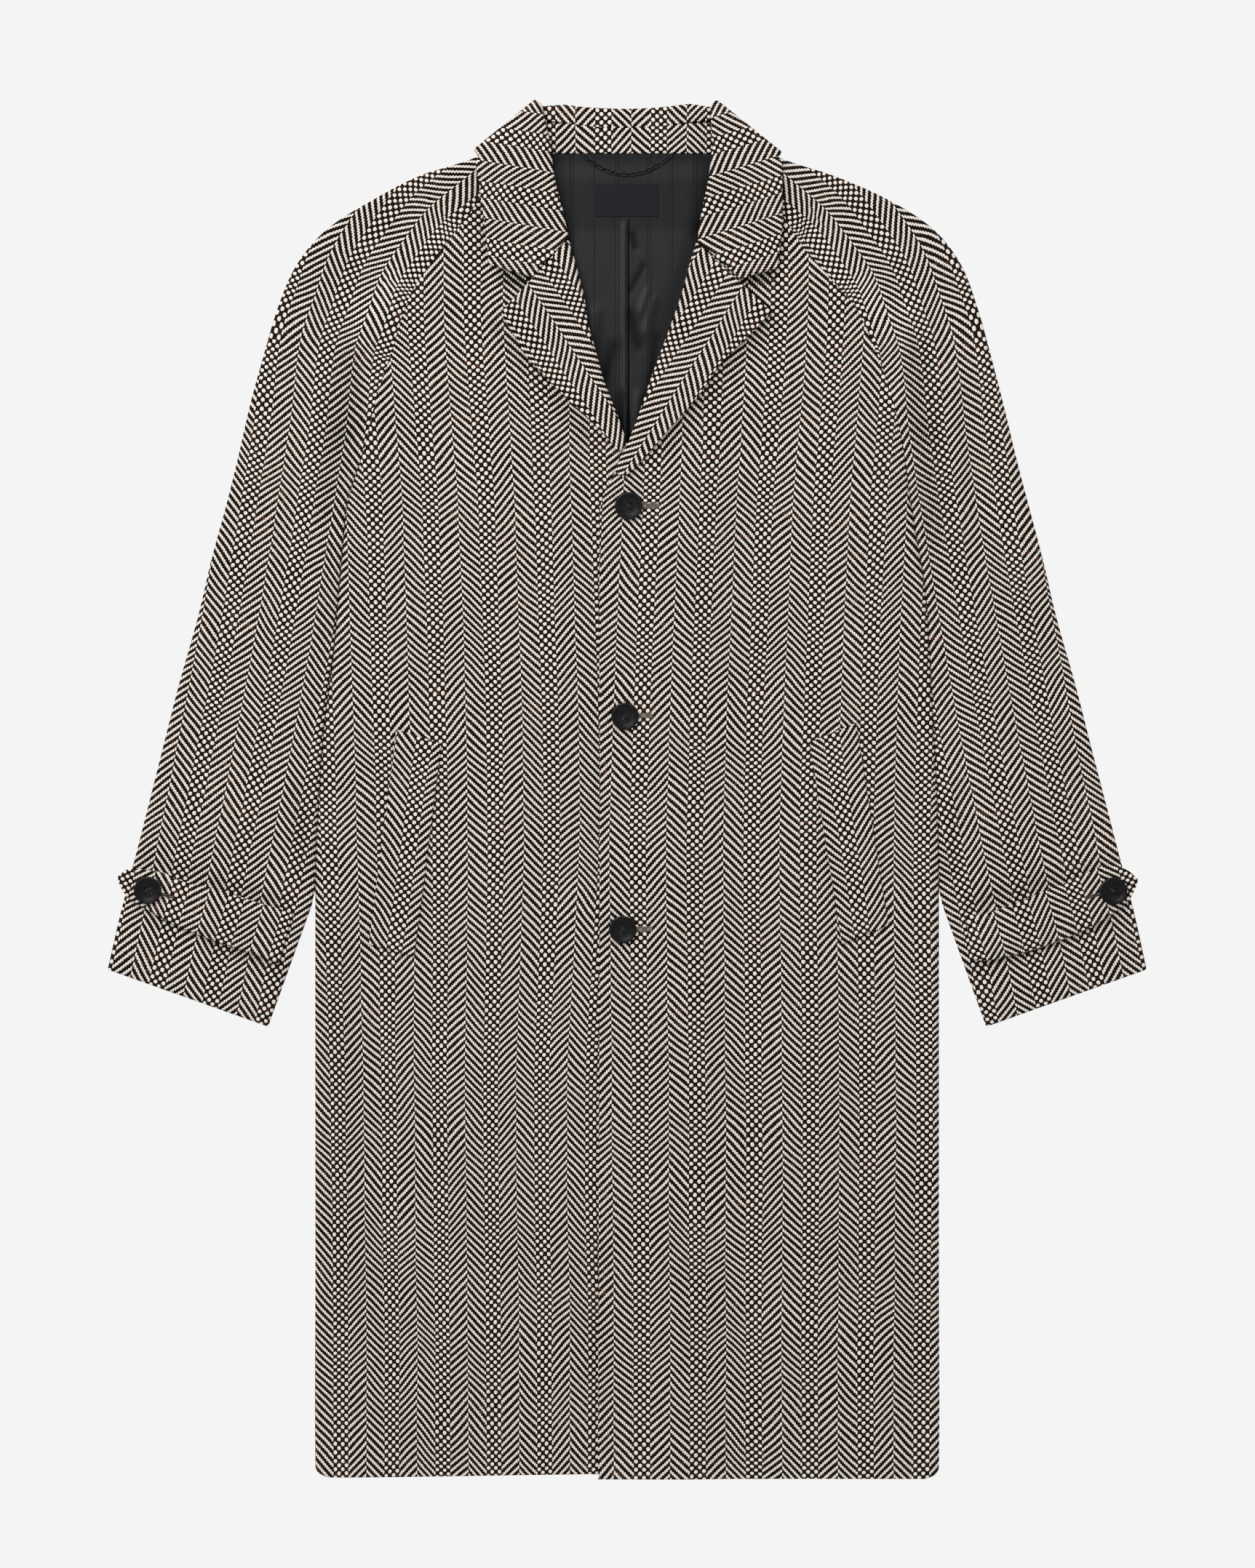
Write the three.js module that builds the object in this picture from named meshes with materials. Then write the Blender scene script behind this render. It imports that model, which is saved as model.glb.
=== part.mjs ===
// A herringbone wool overcoat, buttoned and laid out flat on its back.
// Millimetres. X runs across the coat (the wearer's left is +X), Y up to the collar, Z off the table.
import * as THREE from "three";

// Driving sizes
const LENGTH = 1157; // top of the collar to the hem
const TOP = LENGTH / 2;
const HEM = -LENGTH / 2;
const CLOTH = 3; // wool wall
const SEAM = 0.3; // gap left at every seam
const LINING = 1.2;
const LAID = 9.3; // two walls and the air between them
const MIDDLE = LAID / 2;
const EDGE_ROUND = 5; // how far in from a folded edge the cloth turns down
const UNDERLAP = 30; // how far the under front reaches past the middle
const ON_TOP = 0.6; // under a lapel or the collar where it lies on a front
const STRIP_GAP = 0.5; // under a strap or welt
const BUTTON_SIZE = 23;
const BUTTON_HOLE = 1.7; // radius before the bevel narrows it
const HOLE_SPREAD = 1.9;

const WOOL = new THREE.MeshStandardMaterial({ color: 0x8c8780, roughness: 0.95 });
const SATIN = new THREE.MeshStandardMaterial({ color: 0x232325, roughness: 0.4 });
const HORN = new THREE.MeshStandardMaterial({ color: 0x17171a, roughness: 0.55 });
const STEEL = new THREE.MeshStandardMaterial({ color: 0x2a2a2c, roughness: 0.4, metalness: 0.9 });

// The edge of the body at each height: hem corner, side, crease beside the sleeve, raglan seam.
// right and left are the distances from the middle on the wearer's right (-X) and left (+X).
const BODY_EDGE = [
  { y: -578.5, right: 252, left: 252 },
  { y: -575, right: 259, left: 259 },
  { y: -569, right: 261.7, left: 261.7 },
  { y: -400, right: 261.7, left: 261.7 },
  { y: -87, right: 261.7, left: 261.7 },
  { y: -50, right: 261, left: 261.5 },
  { y: 0, right: 258, left: 260 },
  { y: 55, right: 254, left: 257 },
  { y: 113, right: 246.5, left: 254 },
  { y: 165, right: 242, left: 250.5 },
  { y: 205, right: 238.5, left: 244 },
  { y: 243, right: 234, left: 237.5 },
  { y: 284, right: 221, left: 232 },
  { y: 325, right: 211, left: 223 },
  { y: 372, right: 196, left: 207 },
  { y: 405, right: 186, left: 191 },
  { y: 427, right: 175, left: 172 },
  { y: 440, right: 165, left: 160.5 },
  { y: 455, right: 154, left: 148 },
  { y: 470, right: 142.5, left: 138 },
  { y: 483, right: 132, left: 129.5 },
  { y: 496, right: 124, left: 123 },
  { y: 512, right: 112, left: 112 },
];

// Sleeve sections from the neck to the cuff: where each meets its inner seam (y), how far the
// inner edge is out once the sleeve has left the body, and its outer edge on both sides.
const SLEEVE = [
  { y: 512, inner: 0, right: 100, rightY: 543, left: 100, leftY: 543 },
  { y: 496, inner: 0, right: 134, rightY: 527.5, left: 134, leftY: 527.5 },
  { y: 483, inner: 0, right: 172, rightY: 515.8, left: 171, leftY: 515.8 },
  { y: 455, inner: 0, right: 213, rightY: 495, left: 219, leftY: 495 },
  { y: 427, inner: 0, right: 252, rightY: 470.5, left: 257, leftY: 470.5 },
  { y: 405, inner: 0, right: 276, rightY: 443, left: 279, leftY: 443 },
  { y: 372, inner: 0, right: 292, rightY: 408, left: 293, leftY: 408 },
  { y: 325, inner: 0, right: 307, rightY: 358, left: 307, leftY: 358 },
  { y: 284, inner: 0, right: 317, rightY: 321, left: 316.5, leftY: 321 },
  { y: 243, inner: 0, right: 327.5, rightY: 275, left: 327.5, leftY: 275 },
  { y: 205, inner: 0, right: 337.5, rightY: 235, left: 338, leftY: 235 },
  { y: 165, inner: 0, right: 348.5, rightY: 195, left: 348.5, leftY: 195 },
  { y: 113, inner: 0, right: 360.5, rightY: 144, left: 360.5, leftY: 144 },
  { y: 55, inner: 0, right: 376, rightY: 89, left: 376, leftY: 89 },
  { y: 0, inner: 0, right: 390, rightY: 34, left: 390, leftY: 34 },
  { y: -50, inner: 0, right: 403, rightY: -18, left: 403.5, leftY: -18 },
  { y: -94, inner: 263.5, right: 413.5, rightY: -59, left: 414, leftY: -59 },
  { y: -140, inner: 280, right: 425, rightY: -103, left: 425.5, leftY: -103 },
  { y: -199, inner: 301.3, right: 436, rightY: -151, left: 436, leftY: -151 },
];

// Roll line of each front, from the point of the V up to the neck, as x at each height.
const ROLL_LINE = [
  { y: 294, right: -1, left: 2 },
  { y: 314, right: -8, left: 9.5 },
  { y: 344, right: -19.5, left: 19.5 },
  { y: 371, right: -27, left: 29.5 },
  { y: 391, right: -32.5, left: 37 },
  { y: 414, right: -36, left: 45 },
  { y: 443, right: -43.5, left: 53 },
  { y: 462, right: -48.8, left: 58.5 },
  { y: 487, right: -53.7, left: 62.5 },
  { y: 514, right: -61, left: 68 },
  { y: 537, right: -63, left: 71 },
];

// Hidden neck edge of each front, set back under the collar, as distance from the middle.
const NECK_EDGE = [
  { y: 448, right: 58, left: 68 },
  { y: 462, right: 62, left: 73 },
  { y: 483, right: 68, left: 78 },
  { y: 512, right: 84, left: 88 },
];

// Front edge of the over front below the V, as x.
const FRONT_EDGE = [
  { y: -578.5, x: -24.4 },
  { y: 0, x: -22.9 },
  { y: 235, x: -22.6 },
  { y: 252, x: -17.7 },
  { y: 263, x: -11.6 },
  { y: 278, x: -6 },
  { y: 294, x: 2 },
];

// Lapel sections from the gorge down: height on the roll line and the point on the outer edge.
const LAPEL = {
  right: [
    { y: 462, edgeX: -106, edgeY: 400 },
    { y: 452, edgeX: -100.5, edgeY: 389.5 },
    { y: 433, edgeX: -92.5, edgeY: 377 },
    { y: 414, edgeX: -85.5, edgeY: 364.5 },
    { y: 391, edgeX: -76, edgeY: 354 },
    { y: 368, edgeX: -66.5, edgeY: 344 },
    { y: 344, edgeX: -50.5, edgeY: 327.5 },
    { y: 320, edgeX: -31, edgeY: 310 },
    { y: 302, edgeX: -17, edgeY: 295 },
    { y: 296, edgeX: -14.2, edgeY: 292 },
    { y: 290, edgeX: -11.5, edgeY: 288.3 },
    { y: 284, edgeX: -8.8, edgeY: 284 },
  ],
  left: [
    { y: 459, edgeX: 121, edgeY: 401 },
    { y: 450, edgeX: 111, edgeY: 389.5 },
    { y: 435, edgeX: 102, edgeY: 380.5 },
    { y: 414, edgeX: 93.5, edgeY: 372 },
    { y: 391, edgeX: 85.5, edgeY: 364 },
    { y: 371, edgeX: 76.5, edgeY: 355 },
    { y: 344, edgeX: 62, edgeY: 333 },
    { y: 320, edgeX: 46, edgeY: 314 },
    { y: 302, edgeX: 27.5, edgeY: 293 },
    { y: 285, edgeX: 9, edgeY: 272.5 },
    { y: 266, edgeX: -3, edgeY: 261 },
  ],
};

// Collar sections on each front, from the gorge up to the shoulder: the roll, a point half way
// (the notch on the first) and the free edge.
const COLLAR = {
  right: [
    { rollX: -48.8, rollY: 463, midX: -79.5, midY: 429.5, edgeX: -116, edgeY: 440 },
    { rollX: -51.5, rollY: 475, midX: -84, midY: 449, edgeX: -117, edgeY: 455 },
    { rollX: -54, rollY: 487, midX: -86, midY: 469, edgeX: -119.5, edgeY: 474 },
    { rollX: -60.5, rollY: 512, midX: -91.5, midY: 506, edgeX: -124, edgeY: 507 },
    { rollX: -64, rollY: 540, midX: -95, midY: 532, edgeX: -127, edgeY: 526 },
  ],
  left: [
    { rollX: 59, rollY: 460, midX: 94.5, midY: 428, edgeX: 126, edgeY: 437 },
    { rollX: 60.5, rollY: 474, midX: 94.5, midY: 447, edgeX: 128, edgeY: 454 },
    { rollX: 63, rollY: 488, midX: 95, midY: 468, edgeX: 130, edgeY: 473 },
    { rollX: 68, rollY: 512, midX: 97.5, midY: 505, edgeX: 130, edgeY: 506 },
    { rollX: 71.5, rollY: 540, midX: 98, midY: 530, edgeX: 129.5, edgeY: 526 },
  ],
};

// The shoulder fold, where the fall turns from the top of the coat to under it.
const SHOULDER_FOLD = {
  right: { rollX: -76.6, rollY: TOP + 1.5, edgeX: -129, edgeY: 537 },
  left: { rollX: 74.5, rollY: TOP + 1, edgeX: 130, edgeY: 535 },
};

// The back of the collar: its roll is the top edge of the coat, the fall lies under the neck.
const COLLAR_BACK = [
  { rollX: -53, rollY: 575.2, edgeX: -98, edgeY: 523, seamX: -50, seamY: 559 },
  { rollX: -28, rollY: 572.6, edgeX: -50, edgeY: 521, seamX: -27, seamY: 556.6 },
  { rollX: 0, rollY: 571.8, edgeX: 0, edgeY: 520, seamX: 0, seamY: 555.6 },
  { rollX: 28, rollY: 573, edgeX: 50, edgeY: 521, seamX: 27, seamY: 556.8 },
  { rollX: 52, rollY: 576, edgeX: 98, edgeY: 523, seamX: 50, seamY: 559.4 },
];
const ROLL_GAP = 4.5; // between the two walls of the collar at its roll
const FOLD_RADIUS = 6.5; // of the shoulder fold, at the middle of the wall
const STAND_STRIP = 13; // from the roll of the back collar to the stand seam
const FRONT_STRIP = 5;

// Pulls of cloth at the armpits: a ridge or trough from one point to another.
const DRAG_FOLDS = [
  { x0: -226, y0: 385, x1: -217, y1: 300, width: 13, height: 1.6 },
  { x0: -239, y0: 310, x1: -247, y1: 170, width: 11, height: -1.9 },
  { x0: 239, y0: 385, x1: 232, y1: 300, width: 12, height: 1.4 },
  { x0: 259, y0: 335, x1: 246, y1: 225, width: 11, height: -1.9 },
];

// Cuff tabs, from the pointed end to the sewn end: the two edges of the strap.
const CUFF_TAB = {
  right: [
    { upX: -426.6, upY: -72.5, lowX: -426.4, lowY: -77.5 },
    { upX: -416, upY: -66.5, lowX: -418.5, lowY: -90 },
    { upX: -388, upY: -70, lowX: -395, lowY: -105 },
    { upX: -374, upY: -76.5, lowX: -381, lowY: -112.5 },
    { upX: -331, upY: -88, lowX: -345, lowY: -127.5 },
    { upX: -305.5, upY: -96, lowX: -321.5, lowY: -135 },
    { upX: -280, upY: -103, lowX: -292, lowY: -146 },
  ],
  left: [
    { upX: 428, upY: -75, lowX: 427.6, lowY: -79.5 },
    { upX: 417, upY: -66.5, lowX: 419.5, lowY: -94 },
    { upX: 399, upY: -64.5, lowX: 401.5, lowY: -107.5 },
    { upX: 375, upY: -75, lowX: 381, lowY: -119 },
    { upX: 335.5, upY: -91, lowX: 346.5, lowY: -132.5 },
    { upX: 300, upY: -104, lowX: 307, lowY: -142.5 },
    { upX: 283.5, upY: -104, lowX: 289, lowY: -143 },
  ],
};

// Pocket welts: top and bottom edges of the slanted strips.
const POCKET = {
  right: [
    { outX: -193.5, outY: 50.5, inX: -155.5, inY: 38.5 },
    { outX: -216.5, outY: -130, inX: -178.5, inY: -140 },
  ],
  left: [
    { outX: 192, outY: 56, inX: 153, inY: 39.5 },
    { outX: 219, outY: -114, inX: 180, inY: -129.5 },
  ],
};
const WELT = 2;

const FRONT_BUTTONS = [
  { name: "button_top", x: 1.2, y: 237.5 },
  { name: "button_middle", x: -1.8, y: 61.3 },
  { name: "button_bottom", x: -3.7, y: -117.4 },
];
const CUFF_BUTTONS = [
  { name: "button_cuff_right", x: -401.4, y: -84.5 },
  { name: "button_cuff_left", x: 407.2, y: -85.1 },
];

const LABEL = { left: -25, right: 26.2, top: 507.5, bottom: 481, thick: 0.6 };
const CHAIN = { halfSpan: 37, topY: 532, sag: 15, wire: 3 };

// Shape helpers
const lerp = THREE.MathUtils.lerp;
const smooth = (x, from, to) => THREE.MathUtils.smoothstep(x, from, to);

// A value of one column of a table at a given y, on a smooth curve through its rows.
function valueAt(table, column, y) {
  const rows = [...table].sort((a, b) => a.y - b.y);
  if (y <= rows[0].y) return rows[0][column];
  if (y >= rows[rows.length - 1].y) return rows[rows.length - 1][column];
  const i = rows.findIndex((row, k) => k > 0 && y <= row.y);
  const slope = (k) => {
    const before = rows[Math.max(k - 1, 0)];
    const after = rows[Math.min(k + 1, rows.length - 1)];
    return (after[column] - before[column]) / (after.y - before.y);
  };
  const span = rows[i].y - rows[i - 1].y;
  const t = (y - rows[i - 1].y) / span;
  const t2 = t * t;
  const t3 = t2 * t;
  return (
    (2 * t3 - 3 * t2 + 1) * rows[i - 1][column] +
    (t3 - 2 * t2 + t) * span * slope(i - 1) +
    (3 * t2 - 2 * t3) * rows[i][column] +
    (t3 - t2) * span * slope(i)
  );
}

// How far the collar under the neck lifts what lies on it.
const NECK_LIFT = { from: 470, full: 512, height: 3.4 };
const lift = (y) =>
  NECK_LIFT.height * THREE.MathUtils.clamp((y - NECK_LIFT.from) / (NECK_LIFT.full - NECK_LIFT.from), 0, 1);

const middle = (y) => MIDDLE + lift(y);

// Ridges and troughs of the drag folds.
function dragFold(x, y) {
  let height = 0;
  for (const fold of DRAG_FOLDS) {
    const dx = fold.x1 - fold.x0;
    const dy = fold.y1 - fold.y0;
    const t = ((x - fold.x0) * dx + (y - fold.y0) * dy) / (dx * dx + dy * dy);
    const near = THREE.MathUtils.clamp(t, 0, 1);
    const away = Math.hypot(x - fold.x0 - near * dx, y - fold.y0 - near * dy);
    height += fold.height * Math.exp(-((away / fold.width) ** 2));
  }
  return height;
}

// How far the over front is raised by the under front: fully up to fullX and fullY, and no longer
// at all past endX and endY.
const OVERLAP = { height: 3.6, fullX: 50, endX: 95, fullY: 310, endY: 372 };
function overlap(x, y) {
  const across = 1 - smooth(x, OVERLAP.fullX, OVERLAP.endX);
  const up = 1 - smooth(y, OVERLAP.fullY, OVERLAP.endY);
  return OVERLAP.height * across * up;
}

const sleeveTop = (x, y) => LAID + lift(y) + dragFold(x, y);
const frontTop = {
  right: (x, y) => LAID + lift(y) + dragFold(x, y),
  left: (x, y) => LAID + lift(y) + dragFold(x, y) + overlap(x, y),
};

// A closed wall from rows of point pairs, one on its outer face and one on its inner face.
function wall(name, rows, material) {
  const across = rows[0].length;
  const positions = [];
  for (const side of ["outer", "inner"])
    for (const row of rows) for (const pair of row) positions.push(...pair[side]);
  const index = [];
  const outer = (i, j) => i * across + j;
  const inner = (i, j) => rows.length * across + i * across + j;
  const quad = (a, b, c, d) => index.push(a, b, c, a, c, d);
  for (let i = 0; i + 1 < rows.length; i++)
    for (let j = 0; j + 1 < across; j++) {
      quad(outer(i, j), outer(i, j + 1), outer(i + 1, j + 1), outer(i + 1, j));
      quad(inner(i, j), inner(i + 1, j), inner(i + 1, j + 1), inner(i, j + 1));
    }
  const last = rows.length - 1;
  for (let j = 0; j + 1 < across; j++) {
    quad(outer(0, j), inner(0, j), inner(0, j + 1), outer(0, j + 1));
    quad(outer(last, j), outer(last, j + 1), inner(last, j + 1), inner(last, j));
  }
  for (let i = 0; i < last; i++) {
    quad(outer(i, 0), outer(i + 1, 0), inner(i + 1, 0), inner(i, 0));
    quad(outer(i, across - 1), inner(i, across - 1), inner(i + 1, across - 1), outer(i + 1, across - 1));
  }
  if (volumeOf(positions, index) < 0) index.reverse();
  const geometry = new THREE.BufferGeometry();
  geometry.setAttribute("position", new THREE.Float32BufferAttribute(positions, 3));
  geometry.setIndex(index);
  geometry.computeVertexNormals();
  return named(name, geometry, material);
}

function volumeOf(positions, index) {
  const point = (k) => new THREE.Vector3().fromArray(positions, 3 * k);
  let six = 0;
  for (let i = 0; i < index.length; i += 3)
    six += point(index[i]).dot(point(index[i + 1]).cross(point(index[i + 2])));
  return six / 6;
}

function named(name, geometry, material) {
  const mesh = new THREE.Mesh(geometry, material);
  mesh.name = name;
  return mesh;
}

// One section of a laid panel, from point a to point b. side is 1 for an upper wall and -1 for a
// lower one. turnA and turnB say how far each edge turns to the middle of the coat (0 to 1); a
// turnB of null is a plain edge.
const EDGE_ANGLES = [0, Math.PI / 4, Math.PI / 2];
function laidSection({ a, b, side, height, middleAt, turnA, turnB, columns, thick = CLOTH }) {
  const length = Math.hypot(b[0] - a[0], b[1] - a[1]);
  const round = Math.min(EDGE_ROUND, length * 0.4);
  const pair = (outDistance, inDistance, sine, turn) => {
    const place = (distance, drop) => {
      const x = lerp(a[0], b[0], distance / length);
      const y = lerp(a[1], b[1], distance / length);
      const flat = height(x, y) - side * drop;
      const mid = middleAt(x, y) + (side * SEAM) / 2;
      const turned = mid + (flat - mid) * sine;
      return [x, y, lerp(flat, turned, turn)];
    };
    return { outer: place(outDistance, 0), inner: place(inDistance, thick) };
  };
  const section = [];
  for (const angle of EDGE_ANGLES) {
    const out = round * (1 - Math.cos(angle));
    const into = lerp(out, round - (round - thick) * Math.cos(angle), turnA);
    section.push(pair(out, into, Math.sin(angle), turnA));
  }
  for (let k = 1; k < columns; k++) {
    const distance = lerp(round, length - round, k / columns);
    section.push(pair(distance, distance, 1, 0));
  }
  const endAngles = turnB === null ? [0] : [...EDGE_ANGLES].reverse();
  for (const angle of endAngles) {
    const out = round * (1 - Math.cos(angle));
    const into = lerp(out, round - (round - thick) * Math.cos(angle), turnB ?? 0);
    section.push(pair(length - out, length - into, Math.sin(angle), turnB ?? 0));
  }
  return section;
}

// Heights of the sections that the body and the sleeves share, so that their seams match.
const SEAM_HEIGHTS = [
  -87, -50, 0, 55, 113, 165, 205, 243, 265, 284, 304, 325, 348, 372, 405, 427, 440, 455, 470, 483, 496, 512,
];
const SKIRT_HEIGHTS = [-578.5, -575, -569, -480, -360, -240, -150];
const BODY_HEIGHTS = [...SKIRT_HEIGHTS, ...SEAM_HEIGHTS];
const SIGN = { right: -1, left: 1 };
const bodyEdge = (side, y) => SIGN[side] * valueAt(BODY_EDGE, side, y);

// Side seams turn down to the middle of the coat; from the armhole up the raglan seams lie flat.
const ARMHOLE = { low: 235, high: 300 };
const sideTurn = (y) => 1 - smooth(y, ARMHOLE.low, ARMHOLE.high);

// Panels
const BACK_NECK = { y: 533, half: 100 };
const BACK_HEM = 3; // the back hem stops short of the front hem
function back() {
  const heights = [...BODY_HEIGHTS, BACK_NECK.y];
  const rows = heights.map((y) => {
    const atNeck = y === BACK_NECK.y;
    const hem = y < SKIRT_HEIGHTS[3] ? BACK_HEM : 0;
    return laidSection({
      a: [atNeck ? -BACK_NECK.half : bodyEdge("right", y), y + hem],
      b: [atNeck ? BACK_NECK.half : bodyEdge("left", y), y + hem],
      side: -1,
      height: (x, at) => lift(at),
      middleAt: (x, at) => middle(at),
      turnA: sideTurn(y),
      turnB: sideTurn(y),
      columns: 5,
    });
  });
  return wall("back", rows, WOOL);
}

// The inner edge of each front: front edge, roll line, then the neck edge under the collar.
const V_POINT = 294; // the foot of the V, where the roll lines meet
const UNDERLAP_TOP = 240; // above this the under front narrows to the foot of the V
const NECK_EDGE_FROM = 440;
function frontInner(side, y) {
  if (y > NECK_EDGE_FROM) return SIGN[side] * valueAt(NECK_EDGE, side, y);
  if (y >= V_POINT) return valueAt(ROLL_LINE, side, y);
  if (side === "left") return valueAt(FRONT_EDGE, "x", y);
  return lerp(UNDERLAP, ROLL_LINE[0].right, smooth(y, UNDERLAP_TOP, V_POINT));
}

// The hem of the under front shows a little shorter, more so towards the middle.
const UNDER_HEM = { atSide: 1.2, towardsMiddle: 3, fade: 90, side: -262 };
function front(side) {
  const hemRise = (x, y) => {
    if (side === "left") return 0;
    const rise = UNDER_HEM.atSide + UNDER_HEM.towardsMiddle * smooth(x, UNDER_HEM.side, UNDERLAP);
    return rise * (1 - smooth(y, HEM, HEM + UNDER_HEM.fade));
  };
  const rows = BODY_HEIGHTS.map((y) => {
    const section = laidSection({
      a: [bodyEdge(side, y), y],
      b: [frontInner(side, y), y],
      side: 1,
      height: frontTop[side],
      middleAt: (x, at) => middle(at),
      turnA: sideTurn(y),
      turnB: null,
      columns: 7,
    });
    for (const pair of section)
      for (const point of [pair.outer, pair.inner]) point[1] += hemRise(point[0], point[1]);
    return section;
  });
  return wall("front_" + side, rows, WOOL);
}

// Each sleeve is an upper and a lower wall, sewn along the shoulder and under the arm.
const FREE_HEIGHTS = [-94, -117, -140, -170, -199];
const SLEEVE_FREE = -90; // below this the sleeve lies clear of the body
function sleeve(side, face) {
  const heights = [...SEAM_HEIGHTS.slice(1), ...FREE_HEIGHTS].sort((p, q) => q - p);
  const free = SLEEVE.filter((row) => row.inner > 0);
  const rows = heights.map((y) => {
    const joined = y > SLEEVE_FREE;
    const inner = joined ? bodyEdge(side, y) + SIGN[side] * SEAM : SIGN[side] * valueAt(free, "inner", y);
    const turned = joined ? sideTurn(y) : 1;
    return laidSection({
      a: [SIGN[side] * valueAt(SLEEVE, side, y), valueAt(SLEEVE, side + "Y", y)],
      b: [inner, y],
      side: face === "front" ? 1 : -1,
      height: face === "front" ? sleeveTop : (x, at) => lift(at),
      middleAt: (x, at) => middle(at),
      turnA: 1,
      turnB: turned,
      columns: 5,
    });
  });
  return wall("sleeve_" + side + "_" + face, rows, WOOL);
}

// Lapels and the fall of the collar stand a little off the front along the roll.
const ROLL_PUFF = 2.5;
const FULL_PUFF = 40; // width from which a lapel has its whole puff
const onFront = (side, x, y) => frontTop[side](x, y) + ON_TOP;

// Where a lapel turns over. The under lapel ends beside the edge of the over front.
const UNDER_LAPEL_END = 300;
function lapelStart(side, y) {
  const roll = valueAt(ROLL_LINE, side, y);
  const frontEdge = valueAt(FRONT_EDGE, "x", y);
  if (side === "right") return y < UNDER_LAPEL_END ? Math.min(roll, frontEdge - CLOTH / 2) : roll;
  return y < V_POINT ? frontEdge : roll;
}

function lapel(side) {
  const rows = LAPEL[side].map((row) => {
    const rollX = lapelStart(side, row.y);
    const length = Math.hypot(row.edgeX - rollX, row.edgeY - row.y);
    const puff = (x, y) => {
      const away = Math.hypot(x - rollX, y - row.y) / length;
      return ROLL_PUFF * Math.min(1, length / FULL_PUFF) * (1 - away) ** 2;
    };
    return laidSection({
      a: [rollX, row.y],
      b: [row.edgeX, row.edgeY],
      side: 1,
      height: (x, y) => onFront(side, x, y) + CLOTH + puff(x, y),
      middleAt: (x, y) => onFront(side, x, y),
      turnA: 1,
      turnB: null,
      columns: 4,
    });
  });
  return wall("lapel_" + side, rows, WOOL);
}

// One section of the collar: the strip inside the roll, the roll, and the fall out to its edge.
// out is the way the outer face of the fall looks; fall holds the points it passes over.
function collarSection({ roll, fall, stripTo, strip, out, heightAt }) {
  const start = new THREE.Vector3(...roll);
  const away = new THREE.Vector3(...fall[0]).sub(start).setZ(0).normalize();
  const stripAway = new THREE.Vector3(...stripTo).sub(start).setZ(0).normalize();
  const outward = new THREE.Vector3(...out);
  const radius = ROLL_GAP / 2 + CLOTH / 2;
  const centre = start.clone().addScaledVector(away, radius);
  const pairAt = (base, fromMiddle) => ({
    outer: base.clone().addScaledVector(outward, fromMiddle[0]).toArray(),
    inner: base.clone().addScaledVector(outward, fromMiddle[1]).toArray(),
  });
  const rise = heightAt(...roll);
  const section = [];
  for (const share of [1, 0.5]) {
    const base = centre.clone().addScaledVector(stripAway, strip * share);
    section.push(pairAt(base, [rise - ROLL_GAP - CLOTH / 2, rise - ROLL_GAP + CLOTH / 2]));
  }
  for (const degrees of [-90, -45, 0, 45, 90]) {
    const angle = THREE.MathUtils.degToRad(degrees);
    const at = (size) =>
      centre
        .clone()
        .addScaledVector(away, -size * Math.cos(angle))
        .addScaledVector(outward, rise - ROLL_GAP / 2 + size * Math.sin(angle))
        .toArray();
    section.push({ outer: at(radius), inner: at(radius - CLOTH) });
  }
  const stops = [centre, ...fall.map((point) => new THREE.Vector3(...point))];
  for (let leg = 0; leg + 1 < stops.length; leg++)
    for (const share of [0.5, 1]) {
      const base = stops[leg].clone().lerp(stops[leg + 1], share).setZ(start.z);
      const height = heightAt(base.x, base.y);
      section.push(pairAt(base, [height + CLOTH / 2, height - CLOTH / 2]));
    }
  return section;
}

// Sections of the collar on one front, from the gorge to the shoulder.
function collarFront(side) {
  const rows = COLLAR[side];
  const sections = [];
  for (let k = 0; k <= 2 * (rows.length - 1); k++) {
    const before = rows[Math.floor(k / 2)];
    const after = rows[Math.ceil(k / 2)];
    const mean = (column) => (before[column] + after[column]) / 2;
    const notch = [mean("midX"), mean("midY"), 0];
    const roll = [mean("rollX"), mean("rollY"), 0];
    const reach = Math.hypot(mean("edgeX") - roll[0], mean("edgeY") - roll[1]);
    sections.push(
      collarSection({
        roll,
        fall: [notch, [mean("edgeX"), mean("edgeY"), 0]],
        stripTo: notch,
        strip: FRONT_STRIP,
        out: [0, 0, 1],
        heightAt: (x, y) => {
          const share = Math.min(1, Math.hypot(x - roll[0], y - roll[1]) / reach);
          return onFront(side, x, y) + CLOTH / 2 + ROLL_PUFF * (1 - share) ** 2;
        },
      }),
    );
  }
  return sections;
}

// Sections round the shoulder fold, from the top of the coat to under it.
function collarFold(side) {
  const fold = SHOULDER_FOLD[side];
  const along = new THREE.Vector2(fold.edgeX - fold.rollX, fold.edgeY - fold.rollY).normalize();
  const inward = new THREE.Vector2(-along.y, along.x).multiplyScalar(side === "right" ? 1 : -1);
  const inset = FOLD_RADIUS + CLOTH / 2;
  const height = CLOTH / 2 + FOLD_RADIUS;
  const roll = [fold.rollX + inset * inward.x, fold.rollY + inset * inward.y, height];
  const edge = [fold.edgeX + inset * inward.x, fold.edgeY + inset * inward.y, height];
  const half = [(roll[0] + edge[0]) / 2, (roll[1] + edge[1]) / 2, height];
  return [90, 60, 30, 0, -30, -60, -90].map((degrees) => {
    const angle = THREE.MathUtils.degToRad(degrees);
    return collarSection({
      roll,
      fall: [half, edge],
      stripTo: half,
      strip: lerp(FRONT_STRIP, STAND_STRIP, (90 - degrees) / 180),
      out: [-inward.x * Math.cos(angle), -inward.y * Math.cos(angle), Math.sin(angle)],
      heightAt: () => FOLD_RADIUS,
    });
  });
}

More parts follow.
